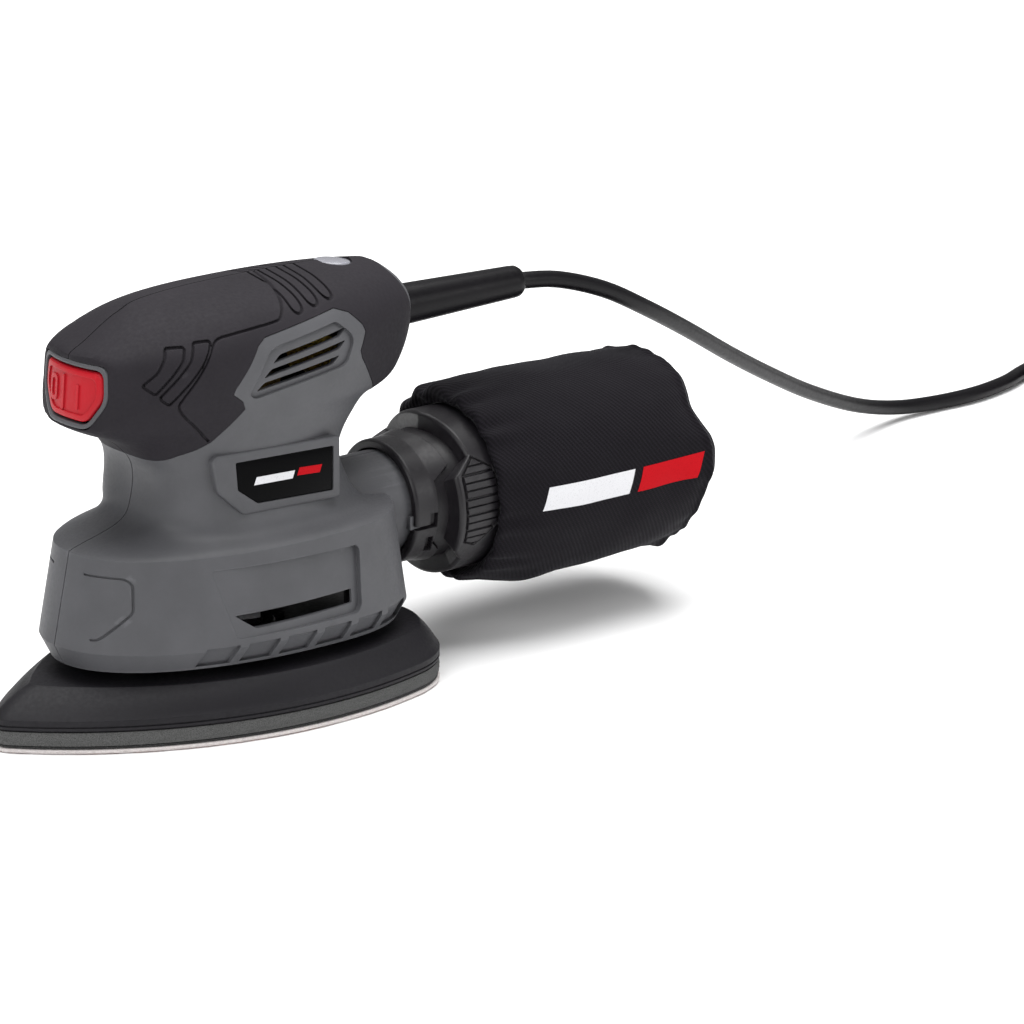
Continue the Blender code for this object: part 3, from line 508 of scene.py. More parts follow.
def foam_grey():
    """Foam with fine pores and a few larger ones; painted shade darkens each fine pore towards its sunk
    middle and makes the larger pores dark.
    """
    n = Nodes("grey cell foam")
    pores = n.cells(3000)
    # painted shade: near-black spots where the larger pores' holes would lie in shadow
    big_pore_shade = n.spread(n.cells(1300), 0.0, 0.6, 0.02, 0.16)
    # painted shade: each fine pore darker towards its middle, where the bump sinks it
    colour = n.mix(n.spread(pores, 0.0, 1.0, 0.1, 0.6), (0.080, 0.081, 0.080), (0.152, 0.153, 0.151))
    n.set(Base_Color=n.mix(big_pore_shade, (0.02, 0.02, 0.02), colour), Roughness=0.95, Specular_IOR_Level=0.15,
          Normal=n.bump(pores, 0.8, 0.25))
    return n.material


def sheet_paper():
    """Off-white velour and paper at the edge and top, reddish grit underneath."""
    n = Nodes("abrasive sheet")
    normal = n.add("ShaderNodeNewGeometry").outputs["Normal"]
    facing = n.add("ShaderNodeSeparateXYZ", {"Vector": normal})
    below = n.spread(facing.outputs["Z"], 1.0, 0.0, -0.9, -0.6)
    grain = n.cells(2600)
    grit = n.mix(n.spread(grain, 0, 1, 0.1, 0.6), (0.42, 0.13, 0.07), (0.16, 0.05, 0.03))
    fuzz = n.mix(n.spread(n.noise(1300, 4, 0.7), 0, 1), (0.50, 0.46, 0.45), (0.68, 0.64, 0.63))
    n.set(Base_Color=n.mix(below, fuzz, grit), Roughness=0.95, Specular_IOR_Level=0.2, Sheen_Weight=0.3,
          Normal=n.bump(grain, 0.7, 0.15))
    return n.material


def hook_black():
    n = Nodes("hook layer")
    hooks = n.cells(1500)
    n.set(Base_Color=n.mix(n.spread(hooks, 0, 1, 0.1, 0.5), (0.03, 0.03, 0.03), (0.006, 0.006, 0.006)),
          Roughness=0.7, Normal=n.bump(hooks, 0.9, 0.3))
    return n.material


def winding_copper():
    n = Nodes("enamelled winding")
    wires = n.bands(420, 2.5)
    n.set(Base_Color=n.mix(wires, (0.30, 0.09, 0.03), (0.75, 0.32, 0.12)), Metallic=0.9,
          Roughness=n.spread(n.noise(500, 3), 0.22, 0.4), Normal=n.bump(wires, 0.8, 0.25))
    return n.material


def laminated_steel():
    n = Nodes("laminated steel")
    sheets = n.bands(320)
    rust = n.spread(n.noise(160, 5, 0.7), 0.0, 0.5, 0.55, 0.8)
    n.set(Base_Color=n.mix(rust, (0.30, 0.30, 0.31), (0.20, 0.10, 0.05)), Metallic=0.9,
          Roughness=n.spread(sheets, 0.35, 0.55, 0, 1), Normal=n.bump(sheets, 0.5, 0.1))
    return n.material


def clear_lens():
    n = Nodes("clear lens")
    n.set(Base_Color=n.mix(n.noise(200, 2), (0.50, 0.50, 0.55), (0.34, 0.34, 0.39)),
          Roughness=n.spread(n.noise(500, 3), 0.06, 0.16), Transmission_Weight=0.45, IOR=1.5,
          Normal=n.bump(n.noise(120, 2), 0.1, 0.1, n.soft_edges(0.5)))
    return n.material


def plain_floor():
    n = Nodes("pale floor")
    n.set(Base_Color=(0.93, 0.93, 0.93, 1), Roughness=0.9, Specular_IOR_Level=0.1)
    return n.material


# name, colour, roughness, then how rough the grain is, how round the edges are, how much lighter
# they wear, and the gloss
GREY = moulded("grey housing plastic", (0.070, 0.0705, 0.0765), 0.50, 0.45, 0.35, 1.5, 0.3)
RUBBER = moulded("soft grip rubber", (0.0165, 0.0145, 0.0180), 0.72, 0.30, 0.4, 1.3, 0.16)
RED = moulded("red rocker plastic", (0.40, 0.0045, 0.012), 0.38, 0.06, 0.3, 1.1, 0.22)
BLACK = moulded("black plastic", (0.009, 0.0078, 0.0098), 0.42, 0.28, 0.3, 1.6, 0.35)
PLATEN_BLACK = moulded("black pad plate", (0.0075, 0.0068, 0.0090), 0.55, 0.35, 0.4, 1.6, 0.22)
CORD_BLACK = moulded("black cord sheath", (0.0042, 0.0037, 0.0048), 0.38, 0.08, 0, 1.2, 0.14)
CARBON = moulded("carbon", (0.022, 0.022, 0.023), 0.6, grain=0.6, edge=0)
CAPACITOR = moulded("capacitor case", (0.62, 0.42, 0.05), 0.4, grain=0.1, edge=0)
GLOSS = gloss_black()
WHITE_INK = print_ink("white print", (0.66, 0.66, 0.68))
RED_INK = print_ink("red print", (0.44, 0.004, 0.009))
CLOTH = twill("black bag twill", (0.0044, 0.0034, 0.0054))
FOAM = foam_grey()
SHEET = sheet_paper()
HOOKS = hook_black()
STEEL = metal("screw steel", (0.52, 0.52, 0.54), 0.32)
NICKEL = metal("plug pin nickel", (0.62, 0.60, 0.56), 0.22)
BRASS = metal("brass", (0.62, 0.43, 0.16), 0.30)
ALLOY = metal("cast alloy", (0.42, 0.42, 0.44), 0.50, 300)
WINDING = winding_copper()
LAMINATED = laminated_steel()
LENS = clear_lens()
FLOOR = plain_floor()


# ---------------------------------------------------------------- camera, floor and light

def make_camera():
    """The picture's viewpoint: ahead of the nose to its left, above, with a long lens."""
    camera = bpy.data.objects.new("camera", bpy.data.cameras.new("camera"))
    bpy.context.scene.collection.objects.link(camera)
    right = (0.76604, -0.64279, 0.0)
    up = (0.18793, 0.22397, 0.95630)
    back = (-0.61470, -0.73257, 0.29237)
    turn = Matrix((right, up, back)).transposed().to_4x4()
    camera.matrix_world = Matrix.Translation((-0.7252, -0.9946, 0.4297)) @ turn
    camera.data.sensor_width = 36
    camera.data.lens = 158.24
    bpy.context.scene.camera = camera


def make_floor():
    mesh = bpy.data.meshes.new("floor")
    with editing(mesh) as shape:
        bmesh.ops.create_grid(shape, x_segments=2, y_segments=2, size=6)
    floor = new_object("floor", mesh, FLOOR)
    floor.location.z = -0.0002


def area_light(name, place, aim, size, power):
    light = bpy.data.lights.new(name, "AREA")
    light.shape = "RECTANGLE"
    light.size, light.size_y = size
    light.energy = power
    obj = bpy.data.objects.new(name, light)
    bpy.context.scene.collection.objects.link(obj)
    obj.location = place
    obj.rotation_euler = (Vector(aim) - Vector(place)).to_track_quat("-Z", "Y").to_euler()


def make_light():
    world = bpy.data.worlds.new("studio")
    bpy.context.scene.world = world
    world.use_nodes = True
    tree = world.node_tree
    background = tree.nodes["Background"]
    background.inputs["Color"].default_value = (1, 1, 1, 1)
    # white where the camera looks past the floor, dimmer as light, so that dark plastics stay dark
    path = tree.nodes.new("ShaderNodeLightPath")
    strength = tree.nodes.new("ShaderNodeMapRange")
    strength.inputs["To Min"].default_value = 0.30
    strength.inputs["To Max"].default_value = 1.0
    tree.links.new(path.outputs["Is Camera Ray"], strength.inputs["Value"])
    tree.links.new(strength.outputs["Result"], background.inputs["Strength"])
    area_light("over_light", (0.15, 0.1, 1.5), (0.1, 0, 0.0), (1.6, 1.4), 42)
    area_light("left_light", (-1.3, -0.7, 0.9), (0, 0, 0.07), (0.7, 0.9), 10)
    area_light("right_light", (1.0, -1.3, 0.6), (0.05, 0, 0.05), (0.7, 0.7), 6)
    bpy.context.scene.view_settings.view_transform = "Standard"


# ---------------------------------------------------------------- cord

def coil_points():
    """Turns of the spare cord, clockwise: inwards on the lower layer, then outwards on the upper one."""
    pitch = 2 * CORD_RADIUS + 0.08
    outer = COIL_OUTER - CORD_RADIUS - 0.15
    low, high = CORD_RADIUS + 0.25, 3 * CORD_RADIUS + 0.3
    inwards = [outer - pitch * k for k in range(COIL_COLUMNS)]
    stops = [(radius, low) for radius in inwards] + [(radius, high) for radius in reversed(inwards)]
    start = math.radians(COIL_START)
    steps = (len(stops) - 1) * COIL_STEPS + round(COIL_START / 360 * COIL_STEPS)
    points = []
    for i in range(steps + 1):
        turn, step = divmod(i, COIL_STEPS)
        here, there = stops[turn], stops[min(turn + 1, len(stops) - 1)]
        share = max(step / COIL_STEPS - 0.7, 0) / 0.3
        share = share * share * (3 - 2 * share)
        radius = here[0] + (there[0] - here[0]) * share
        height = here[1] + (there[1] - here[1]) * share
        angle = start - math.tau * i / COIL_STEPS
        points.append((COIL_CENTRE[0] + radius * math.cos(angle),
                       COIL_CENTRE[1] + radius * math.sin(angle), height))
    return points


def make_cord():
    coil = coil_points()
    end_z = PLUG_Z - PLUG_CORD_DROP
    drop = coil[-1][2] - end_z
    tail = smoothed([coil[-2], coil[-1], (PLUG_X, 57.0, end_z + 0.7 * drop),
                     (PLUG_X, 48.0, end_z + 0.15 * drop), (PLUG_X, PLUG_START_Y + 0.4, end_z)], 4)[5:]
    loose = smoothed([*CORD_ROUTE, coil[0], coil[1], coil[2]], 5)[:-10]
    route = loose + coil[1:] + tail
    curve = bpy.data.curves.new("mains_cord", "CURVE")
    curve.dimensions = "3D"
    curve.bevel_depth = CORD_RADIUS * MM
    curve.bevel_resolution = 6
    curve.use_fill_caps = True
    spline = curve.splines.new("POLY")
    spline.points.add(len(route) - 1)
    for point, place in zip(spline.points, route):
        point.co = (*(Vector(place) * MM), 1)
    spline.use_smooth = True
    cord = bpy.data.objects.new("mains_cord", curve)
    bpy.context.scene.collection.objects.link(cord)
    curve.materials.append(CORD_BLACK)
    length = sum(math.dist(a, b) for a, b in zip(route, route[1:])) * MM
    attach(cord, "housing")
    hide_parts("cord", "cord_coil")
    return cord, Vector(route[0]) * MM, length


def make_plug():
    """A moulded flat two-pin plug with a ribbed grip and its own tapered boot."""
    boot_end = PLUG_START_Y - 24
    half = [(9.5, 1), (12.5, -3), (17.6, -15), (17.6, -29), (14.5, -35.9)]
    profile = [(-9.5, 1), *half, *[(-x, y) for x, y in half[:0:-1]]]
    outline = [(x + PLUG_X, y) for x, y in rounded([(x, boot_end + y) for x, y in profile], 4)]
    body = bevelled(prism("plug_shell", outline, PLUG_Z - 6.8, PLUG_Z + 6.8), 2.6, 5)
    for k in range(5):
        near = boot_end - 12 - 3 * k
        far = boot_end - 13.4 - 3 * k
        outline = [(PLUG_X - 8, near), (PLUG_X + 8, near), (PLUG_X + 8, far), (PLUG_X - 8, far)]
        cut(body, prism(f"rib_{k}", outline, PLUG_Z + 6.3, PLUG_Z + 8))
    rings = []
    sides = 32
    for k in range(9):
        far = boot_end - 4 + (PLUG_START_Y - boot_end + 4) * (1 - k / 8)
        radius, height = 4.0 + 1.7 * k / 8, PLUG_Z - PLUG_CORD_DROP + PLUG_CORD_DROP * k / 8
        rings.append([(PLUG_X + radius * math.cos(math.tau * i / sides), far,
                       height + radius * math.sin(math.tau * i / sides)) for i in range(sides)])
    cut(body, stack("plug_boot", rings), operation="UNION")
    finish_piece(body, CORD_BLACK, "housing", ["plug_body"], 45)
    pins = []
    for number, offset in ((1, -9.3), (2, 9.3)):
        tip, root = boot_end - 55, boot_end - 36.2
        profile = [(0, root), (1.98, root), (1.98, tip + 1.6), (1.5, tip + 0.5), (0.7, tip), (0, tip)]
        pin = lathe(f"pin_{number}", profile, (PLUG_X + offset, 0, PLUG_Z), "Y", 32)
        pins.append(finish_piece(pin, NICKEL, "housing", [f"plug_pin_{number}"], 40))
    return [body, *pins]


def make_strain_relief():
    """Collar inside the housing, then a long smooth taper with a rounded end."""
    tip = 4.75
    profile = [(3.4, BOOT_START), (3.4, 49.3), (6.9, 49.3), (6.9, 52.3), (6.2, 52.6), (6.2, 64.0),
               (tip + 0.15, BOOT_END - 3.0), (tip, BOOT_END - 1.2), (tip - 0.5, BOOT_END - 0.35),
               (tip - 1.3, BOOT_END), (0, BOOT_END), (0, BOOT_START)]
    boot = lathe("cord_boot", profile, (0, 0, CORD_Z), "X", 64)
    finish_piece(boot, CORD_BLACK, "housing", ["strain_relief"], 40)


# ---------------------------------------------------------------- housing skin

def dense_rows():
    """The skin's rows at an even spacing, smooth between rows except at the creased ones."""
    values = [row[:9] for row in SKIN_ROWS]
    creased = [row[9] for row in SKIN_ROWS]
    gaps = [math.dist((a[0], a[1], a[4], a[5]), (b[0], b[1], b[4], b[5]))
            for a, b in zip(values, values[1:])]
    slopes = [[(q - p) / gap for p, q in zip(a, b)] for a, b, gap in zip(values, values[1:], gaps)]

    def tangent(row, piece):
        if creased[row] or row == len(values) - 1:
            return slopes[piece]
        near, far = gaps[row], gaps[row - 1]
        return [(near * p + far * q) / (near + far) for p, q in zip(slopes[row - 1], slopes[row])]

    rows = []
    for piece, gap in enumerate(gaps):
        start, end = tangent(piece, piece), tangent(piece + 1, piece)
        count = max(2, round(gap / ROW_SPACING))
        for step in range(count):
            t = step / count
            h00, h10 = 2 * t ** 3 - 3 * t ** 2 + 1, t ** 3 - 2 * t ** 2 + t
            h01, h11 = 3 * t ** 2 - 2 * t ** 3, t ** 3 - t ** 2
            rows.append([h00 * a + h10 * gap * c + h01 * b + h11 * gap * d
                         for a, b, c, d in zip(values[piece], values[piece + 1], start, end)])
    rows.append(list(values[-1]))
    return rows


def nose_x(y, z):
    """Where the nose's face lies: leaning a little and falling back to each side."""
    return NOSE_X + NOSE_LEAN * (z - NOSE_Z) + NOSE_CURVE * y * y


def skin_ring(row):
    front_x, front_z, rear_x, rear_z, half_width, side_z, wide_at, front_power, rear_power = row
    ring = []
    for i in range(RING_COUNT + 1):
        angle = math.pi * i / RING_COUNT
        along, across = math.cos(angle), math.sin(angle)
        power, reach = (front_power, wide_at - front_x) if along > 0 else (rear_power, rear_x - wide_at)
        x = wide_at - math.copysign(reach * abs(along) ** (2 / power), along)
        y = -half_width * across ** (2 / power) if 0 < i < RING_COUNT else 0.0
        share = (x - front_x) / (rear_x - front_x)
        z = front_z + (rear_z - front_z) * share + (side_z - (front_z + rear_z) / 2) * across
        if z > NOSE_FLAT_FROM:
            x = max(x, nose_x(y, z))
        ring.append((x, y, z))
    return ring


def half_skin():
    rings = [skin_ring(row) for row in dense_rows()]
    points = [p for ring in rings for p in ring]
    return points, grid_faces(len(rings), RING_COUNT + 1)


SKIN_POINTS, SKIN_FACES = half_skin()


def layer(name, outside, inside, sign=-1, fade=None):
    """Half the skin, given a wall from so far outside it to so far inside it; fade thins it towards -X."""
    points = [(x, y * -sign, z) for x, y, z in SKIN_POINTS]
    obj = mesh_object(name, points, SKIN_FACES)
    with editing(obj.data) as shape:
        bmesh.ops.remove_doubles(shape, verts=shape.verts, dist=5 * MERGE)
        bmesh.ops.recalc_face_normals(shape, faces=shape.faces)
        facing = sum(f.normal.y * f.calc_area() for f in shape.faces)
        if facing * sign < 0:
            bmesh.ops.reverse_faces(shape, faces=shape.faces)
    wall = obj.modifiers.new("wall", "SOLIDIFY")
    wall.thickness = (outside + inside) * MM
    wall.offset = (outside - inside) / (outside + inside)
    wall.use_quality_normals = True
    if fade:
        group = obj.vertex_groups.new(name="fade")
        for vert in obj.data.vertices:
            share = (vert.co.x / MM - fade[0]) / (fade[1] - fade[0])
            group.add([vert.index], min(max(share, 0.06), 1.0), "REPLACE")
        wall.vertex_group = "fade"
    applied(obj)
    return tidy(obj)


def box_tool(name, low, high):
    outline = [(low[0], low[1]), (high[0], low[1]), (high[0], high[1]), (low[0], high[1])]
    return prism(name, outline, low[2], high[2])


def on_skin(name, tools, outside, inside, sign, fade=None):
    """The parts of a layer of the skin that lie inside the tools: a shallow relief."""
    window = joined(f"{name}_tools", tools)
    return cut(layer(name, outside, inside, sign, fade), window, operation="INTERSECT")


def sided(sign, low, high):
    """Two distances from the middle plane as a low and a high Y on the side of the sign."""
    return tuple(sorted((sign * low, sign * high)))


def side_prism(name, outline, sign, low=1, high=60):
    return prism(name, outline, *sided(sign, low, high), "Y")


# outlines and lines (x, z) on the side of the grip and the housing
SWEEP_LINE = [(14.8, 124.0), (11.9, 120.9), (9.2, 118.2), (5.9, 115.1), (3.2, 114.4), (-3.7, 113.9),
              (-12, 113.3), (-16.6, 112.7), (-19.4, 110.6), (-22.5, 106.4), (-25.6, 102.7),
              (-29.8, 98.0), (-30.7, 96.0), (-29.2, 93.3), (-24.5, 88.6), (-19.9, 84.0)]
CHEVRONS = [
    [(-32.0, 112.1), (-26.9, 112.0), (-28.6, 108.6), (-32.1, 105.0), (-37.2, 100.2), (-40.4, 103.0),
     (-36.0, 106.2), (-33.4, 109.6)],
    [(-23.9, 112.7), (-18.9, 112.7), (-20.2, 110.4), (-22.9, 107.0), (-27.2, 102.6), (-33.6, 96.9),
     (-36.2, 99.2), (-30.6, 104.2), (-26.4, 108.2)],
]
FINGER_LOOPS = [(10.5, 115.4), (17.0, 116.3), (23.3, 117.0)]
FRONT_PANEL = [(-60, 47.9), (-50.5, 48.0), (-45.4, 47.8), (-43.9, 46.3), (-44.6, 38.5), (-52.4, 30.4),
               (-60, 29.8)]
WINDOW = [(-24.6, 48.6), (23.6, 47.8), (24.6, 46.4), (23.6, 30.4), (22.0, 28.4), (-18.6, 28.6)]
WINDOW_FADE = (-22.0, 22.0)  # the recess deepens along X between these
SLOT = [(-18.9, 35.2), (21.4, 35.3), (21.2, 31.2), (-12.4, 30.6)]
VENT_PANEL = [(-1.6, 107.2), (1.0, 108.4), (23.6, 111.5), (28.4, 107.4), (29.0, 105.0), (26.4, 99.6),
              (24.4, 98.6), (-6.4, 94.6), (-8.6, 96.2)]
VENT_SLOTS = [((1.2, 104.8), (25.8, 108.1)), ((-2.0, 101.1), (25.2, 104.7)), ((-4.4, 97.6), (22.6, 100.8))]


def slanted_slot(low_end, high_end, height, slant):
    (x0, z0), (x1, z1) = low_end, high_end
    half = height / 2
    return [(x0 - half * slant, z0 - half), (x1 - half * slant, z1 - half),
            (x1 + half * slant, z1 + half), (x0 + half * slant, z0 + half)]


def finger_path(x, z):
    """Down one side of a finger loop, round its end and up the other side."""
    return [(x + 1.2, 128.0), (x + 1.0, z + 5.5), (x + 0.3, z + 1.6), (x + 1.0, z + 0.1), (x + 2.3, z - 0.3),
            (x + 3.5, z + 0.4), (x + 4.2, z + 2.2), (x + 4.6, z + 5.6), (x + 4.8, 128.0)]


def grip_relief(sign):
    """Moulded lines, chevrons and finger grooves of the soft grip."""
    reach = sided(sign, -1, 60)
    tools = [groove_line("sweep", smoothed(SWEEP_LINE, 4), 0.75, *reach)]
    for number, outline in enumerate(CHEVRONS):
        path = smoothed(rounded(outline, 0.9, 3), 2, True)
        tools.append(groove_loop(f"chevron_{number}", path, 0.8, *reach))
    lines = on_skin("lines", tools, 0.6, 0.55, sign)
    loops = [groove_line(f"finger_{number}", smoothed(finger_path(x, z), 4), 0.85, *reach)
             for number, (x, z) in enumerate(FINGER_LOOPS)]
    return [lines, on_skin("finger_grooves", loops, 0.6, 0.65, sign)]


def housing_relief(sign):
    """The sunk window and vent panel, the line of the front panel and the notches above the pad."""
    window = side_prism("window", rounded(WINDOW, 1.2, 3), sign)
    deepening = on_skin("window_recess", [window], 0.8, 1.7, sign, WINDOW_FADE)
    panel = side_prism("vent_panel", rounded(VENT_PANEL, 1.2, 3), sign)
    shallow = on_skin("vent_recess", [panel], 0.6, 0.9, sign)
    front = groove_line("front_panel", rounded(FRONT_PANEL, 1.2, 4)[5:-5], 0.6, *sided(sign, -1, 60))
    lines = on_skin("panel_lines", [front], 0.6, 0.5, sign)
    low, high = 21.4, 26.8
    notches = []
    for k in range(6):
        x = -30.0 + 12.4 * k
        outline = [(x + 0.5, low), (x + 10.2, low), (x + 12.1, high), (x + 2.4, high)]
        notches.append(side_prism(f"notch_{k}", outline, sign))
    return [deepening, shallow, lines, on_skin("notches", notches, 0.6, 1.1, sign)]


def nose_opening(extra, low=-62, high=-38.5):
    return prism("nose_opening", rounded(grown(ROCKER_OUTLINE, extra), 2.2), low, high, "X")


def screw_recess(number):
    x, z = SCREW_PLACES[number]
    profile = [(3.1, 50), (3.1, 12), (1.9, 12), (1.9, -5), (0, -5), (0, 50)]
    return lathe(f"screw_recess_{number + 1}", profile, (x, 0, z), "Y", 32)


def lens_outline(extra=0.0):
    length, width = LENS_LENGTH + extra, LENS_WIDTH + extra
    angles = [math.tau * i / 40 for i in range(40)]
    return [(LENS_X + length * math.cos(a), width * math.sin(a)) for a in angles]


def pipe(name, radius, low, high, z, bore=0.0, steps=96):
    return lathe(name, [(radius, low), (radius, high), (bore, high), (bore, low)], (0, 0, z), "X", steps)


def top_openings():
    """Cutters for the holes that the housing and the soft grip share: the cable's and the lens's."""
    return [pipe("cable_hole", 6.5, 50.5, 85, CORD_Z), prism("lens_window", lens_outline(0.2), 112, 130)]


def side_space(sign):
    low, high = sided(sign, SEAM, 70)
    return box_tool("space", (-95, low, 0), (95, high, 145))


def make_half(side, sign):
    """One housing half: the skin with its port and bezel, less its recesses and openings."""
    shell = layer(f"{side}_shell", 0, WALL, sign)
    port = pipe("port", PORT_RADIUS, PORT_ROOT, PORT_END, PORT_Z)
    bezel = side_prism("bezel", rounded(BEZEL_OUTLINE, 1.2, 3), sign, BEZEL_BACK, BEZEL_FACE)
    bezel = bevelled(bezel, 0.7)
    cut(shell, port, bezel, operation="UNION")
    nub_low, nub_high = (-2, 2) if sign > 0 else (-17.0, -15)
    nub = box_tool("nub", (56.5, nub_low, PORT_Z - 4.5), (60.0, nub_high, PORT_Z - 0.5))
    cut(shell, nub, operation="UNION")
    pocket = prism("pocket_window", GRIP_OUTLINE, -60, 60, "Y")
    badge = rounded(grown(BADGE_OUTLINE, 0.15), 0.6, 3)
    tools = [on_skin("pocket", [pocket], 1.0, GRIP_DEPTH + 0.15, sign), *housing_relief(sign),
             side_prism("badge_cut", badge, sign, BEZEL_FACE - 1.1, 30)]
    for k, (start, end) in enumerate(VENT_SLOTS):
        tools.append(side_prism(f"vent_{k}", rounded(slanted_slot(start, end, 2.2, 1.2), 0.8, 3), sign, 8))
    tools += [side_prism("exhaust", rounded(SLOT, 0.6, 3), sign, 8),
              pipe("port_bore", PORT_BORE, 40, 80, PORT_Z), nose_opening(0.5), *top_openings()]
    if sign > 0:
        tools += [screw_recess(number) for number in range(len(SCREW_PLACES))]
    cut(shell, *tools)
    cut(shell, side_space(sign), operation="INTERSECT")
    finish_piece(shell, GREY, "housing", [f"{side}_housing"])


def make_grip(side, sign):
    """One soft grip, in the housing half's pocket."""
    window = prism("grip_window", grown(GRIP_OUTLINE, -GRIP_GAP), -60, 60, "Y")
    grip = on_skin(f"{side}_soft_grip", [window], GRIP_PROUD, GRIP_DEPTH, sign)
    cut(grip, *grip_relief(sign), nose_opening(1.9), *top_openings())
    if sign > 0:
        cut(grip, *[screw_recess(number - 1) for number in GRIP_SCREWS])
    cut(grip, side_space(sign), operation="INTERSECT")
    finish_piece(grip, RUBBER, "housing", [f"{side}_grip"])


def finish_piece(obj, finish, body, nodes, smooth=32):
    obj.data.materials.clear()
    obj.data.materials.append(finish)
    shade(obj, smooth)
    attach(obj, body)
    if nodes:
        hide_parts(*nodes)
    return obj


def make_badge(side, sign):
    """A gloss plate with a white and a red bar and no lettering."""
    outline = rounded(BADGE_OUTLINE, 0.7, 3)
    plate = side_prism(f"{side}_plate", outline, sign, BEZEL_FACE - 1.0, BEZEL_FACE - 0.25)
    finish_piece(bevelled(plate, 0.15, 2), GLOSS, "housing", [f"{side}_badge"])
    lean = 0.9
    for name, start, end, ink in (("white", -5.5, 8.0, WHITE_INK), ("red", 9.6, 17.6, RED_INK)):
        bar = [(start, 68.9), (end, 68.4), (end + lean, 70.6), (start + lean, 71.1)]
        stripe = side_prism(f"{side}_{name}_bar", bar, sign, BEZEL_FACE - 0.3, BEZEL_FACE - 0.19)
        finish_piece(stripe, ink, "housing", [])


# ---------------------------------------------------------------- rocker

def bent(obj):
    """Cut an upright plate into strips and lay it on the nose's curve."""
    with editing(obj.data) as shape:
        for k in range(-16, 17):
            geometry = shape.verts[:] + shape.edges[:] + shape.faces[:]
            bmesh.ops.bisect_plane(shape, geom=geometry, plane_co=(0, k * MM, 0), plane_no=(0, 1, 0))
        for vert in shape.verts:
            y, z = vert.co.y / MM, vert.co.z / MM
            vert.co.x += (NOSE_CURVE * y * y + NOSE_LEAN * (z - ROCKER_Z)) * MM
    return obj


def rocker_plate(name, growth, radius, low, high, steps=6):
    """The rocker's outline, grown and rounded, as a plate from low to high along X."""
    return prism(name, rounded(grown(ROCKER_OUTLINE, growth), radius, steps), low, high, "X")


def upright(y, half_width, low, high):
    return [(y - half_width, high), (y + half_width, high), (y + half_width, low), (y - half_width, low)]


def make_rocker():
    """The dished rocker with its O and I marks, and the rim round it."""
    face = NOSE_X + 0.65
    mark_low, mark_high = face + 0.02, face + 1.2
    button = bevelled(rocker_plate("rocker", -0.15, 2.4, face, face + 5.0), 0.8, 4)
    cut(button, rocker_plate("dish", -2.0, 2.0, face - 2, face + 0.45))
    off_mark = prism("off_mark", rounded(upright(7.3, 2.1, 95.2, 102.6), 2.0, 6), mark_low, mark_high, "X")
    cut(off_mark, prism("off_hole", rounded(upright(7.3, 1.0, 96.4, 101.4), 0.9, 6), face - 3, face + 3, "X"))
    cut(button, off_mark, operation="UNION")
    for name, y, low, high in (("middle_rib", 2.1, 93.6, 103.4), ("on_mark", -4.4, 94.6, 101.6)):
        bar = prism(name, rounded(upright(y, 0.55, low, high), 0.5, 3), mark_low, mark_high, "X")
        cut(button, bar, operation="UNION")
    finish_piece(bent(tidy(button)), RED, "rocker", ["rocker_button"], 40)

    rim = rocker_plate("switch_rim", 1.8, 3.4, face - 0.25, face + 6)
    cut(rim, rocker_plate("rim_inside", 0.5, 2.6, face - 3, face + 9))
    bevelled(rim, 0.45, 3)
    finish_piece(bent(rim), GREY, "housing", [], 50)


def make_lens():
    """A flat dome that follows the housing's fall towards the rear."""
    lens = bevelled(prism("lens_dome", lens_outline(), 115.5, 121.7), 0.9, 4)
    for vert in lens.data.vertices:
        vert.co.z -= 0.09 * (vert.co.x - LENS_X * MM)
    finish_piece(lens, LENS, "housing", ["indicator_lens"], 50)


def make_screws():
    """Pan heads with a cross recess, one for each boss."""
    profile = [(0, 14.4), (1.6, 14.35), (2.3, 14.0), (2.7, 13.3), (2.7, 12.3), (1.5, 12.3), (1.5, -8.2),
               (0, -8.2)]
    for number, (x, z) in enumerate(SCREW_PLACES, 1):
        screw = lathe(f"screw_{number}", profile, (x, 0, z), "Y", 32)
        for k, (wide, tall) in enumerate(((1.5, 0.4), (0.4, 1.5))):
            slot = [(x - wide, z - tall), (x + wide, z - tall), (x + wide, z + tall), (x - wide, z + tall)]
            cut(screw, prism(f"cross_{k}", slot, 13.3, 16, "Y"))
        finish_piece(screw, STEEL, "housing", [f"housing_screw_{number}"], 35)


# ---------------------------------------------------------------- pad

def loft(name, levels, finish):
    """A closed stack of level outlines, each (z, outline)."""
    return stack(name, [[(x, y, z) for x, y in outline] for z, outline in levels], finish)


def pad_outline(inset):
    return mouse_outline(PAD_TIP + inset, PAD_REAR - inset, PAD_HALF - inset, PAD_WIDE_AT,
                         5.4 - min(inset, 2), 26 - inset)


def top_outline(inset):
    return mouse_outline(-66 + inset, 57.5 - inset, 38.4 - inset, PAD_WIDE_AT,
                         3.5 - min(inset, 1.5), 22 - inset)


def dust_holes(top=30):
    profile = [(0, -5), (DUST_HOLE_RADIUS, -5), (DUST_HOLE_RADIUS, top), (0, top)]
    return joined("dust_holes", [lathe(f"hole_{k}", profile, (x, y, 0), "Z", 32)
                                 for k, (x, y) in enumerate(DUST_HOLES)])


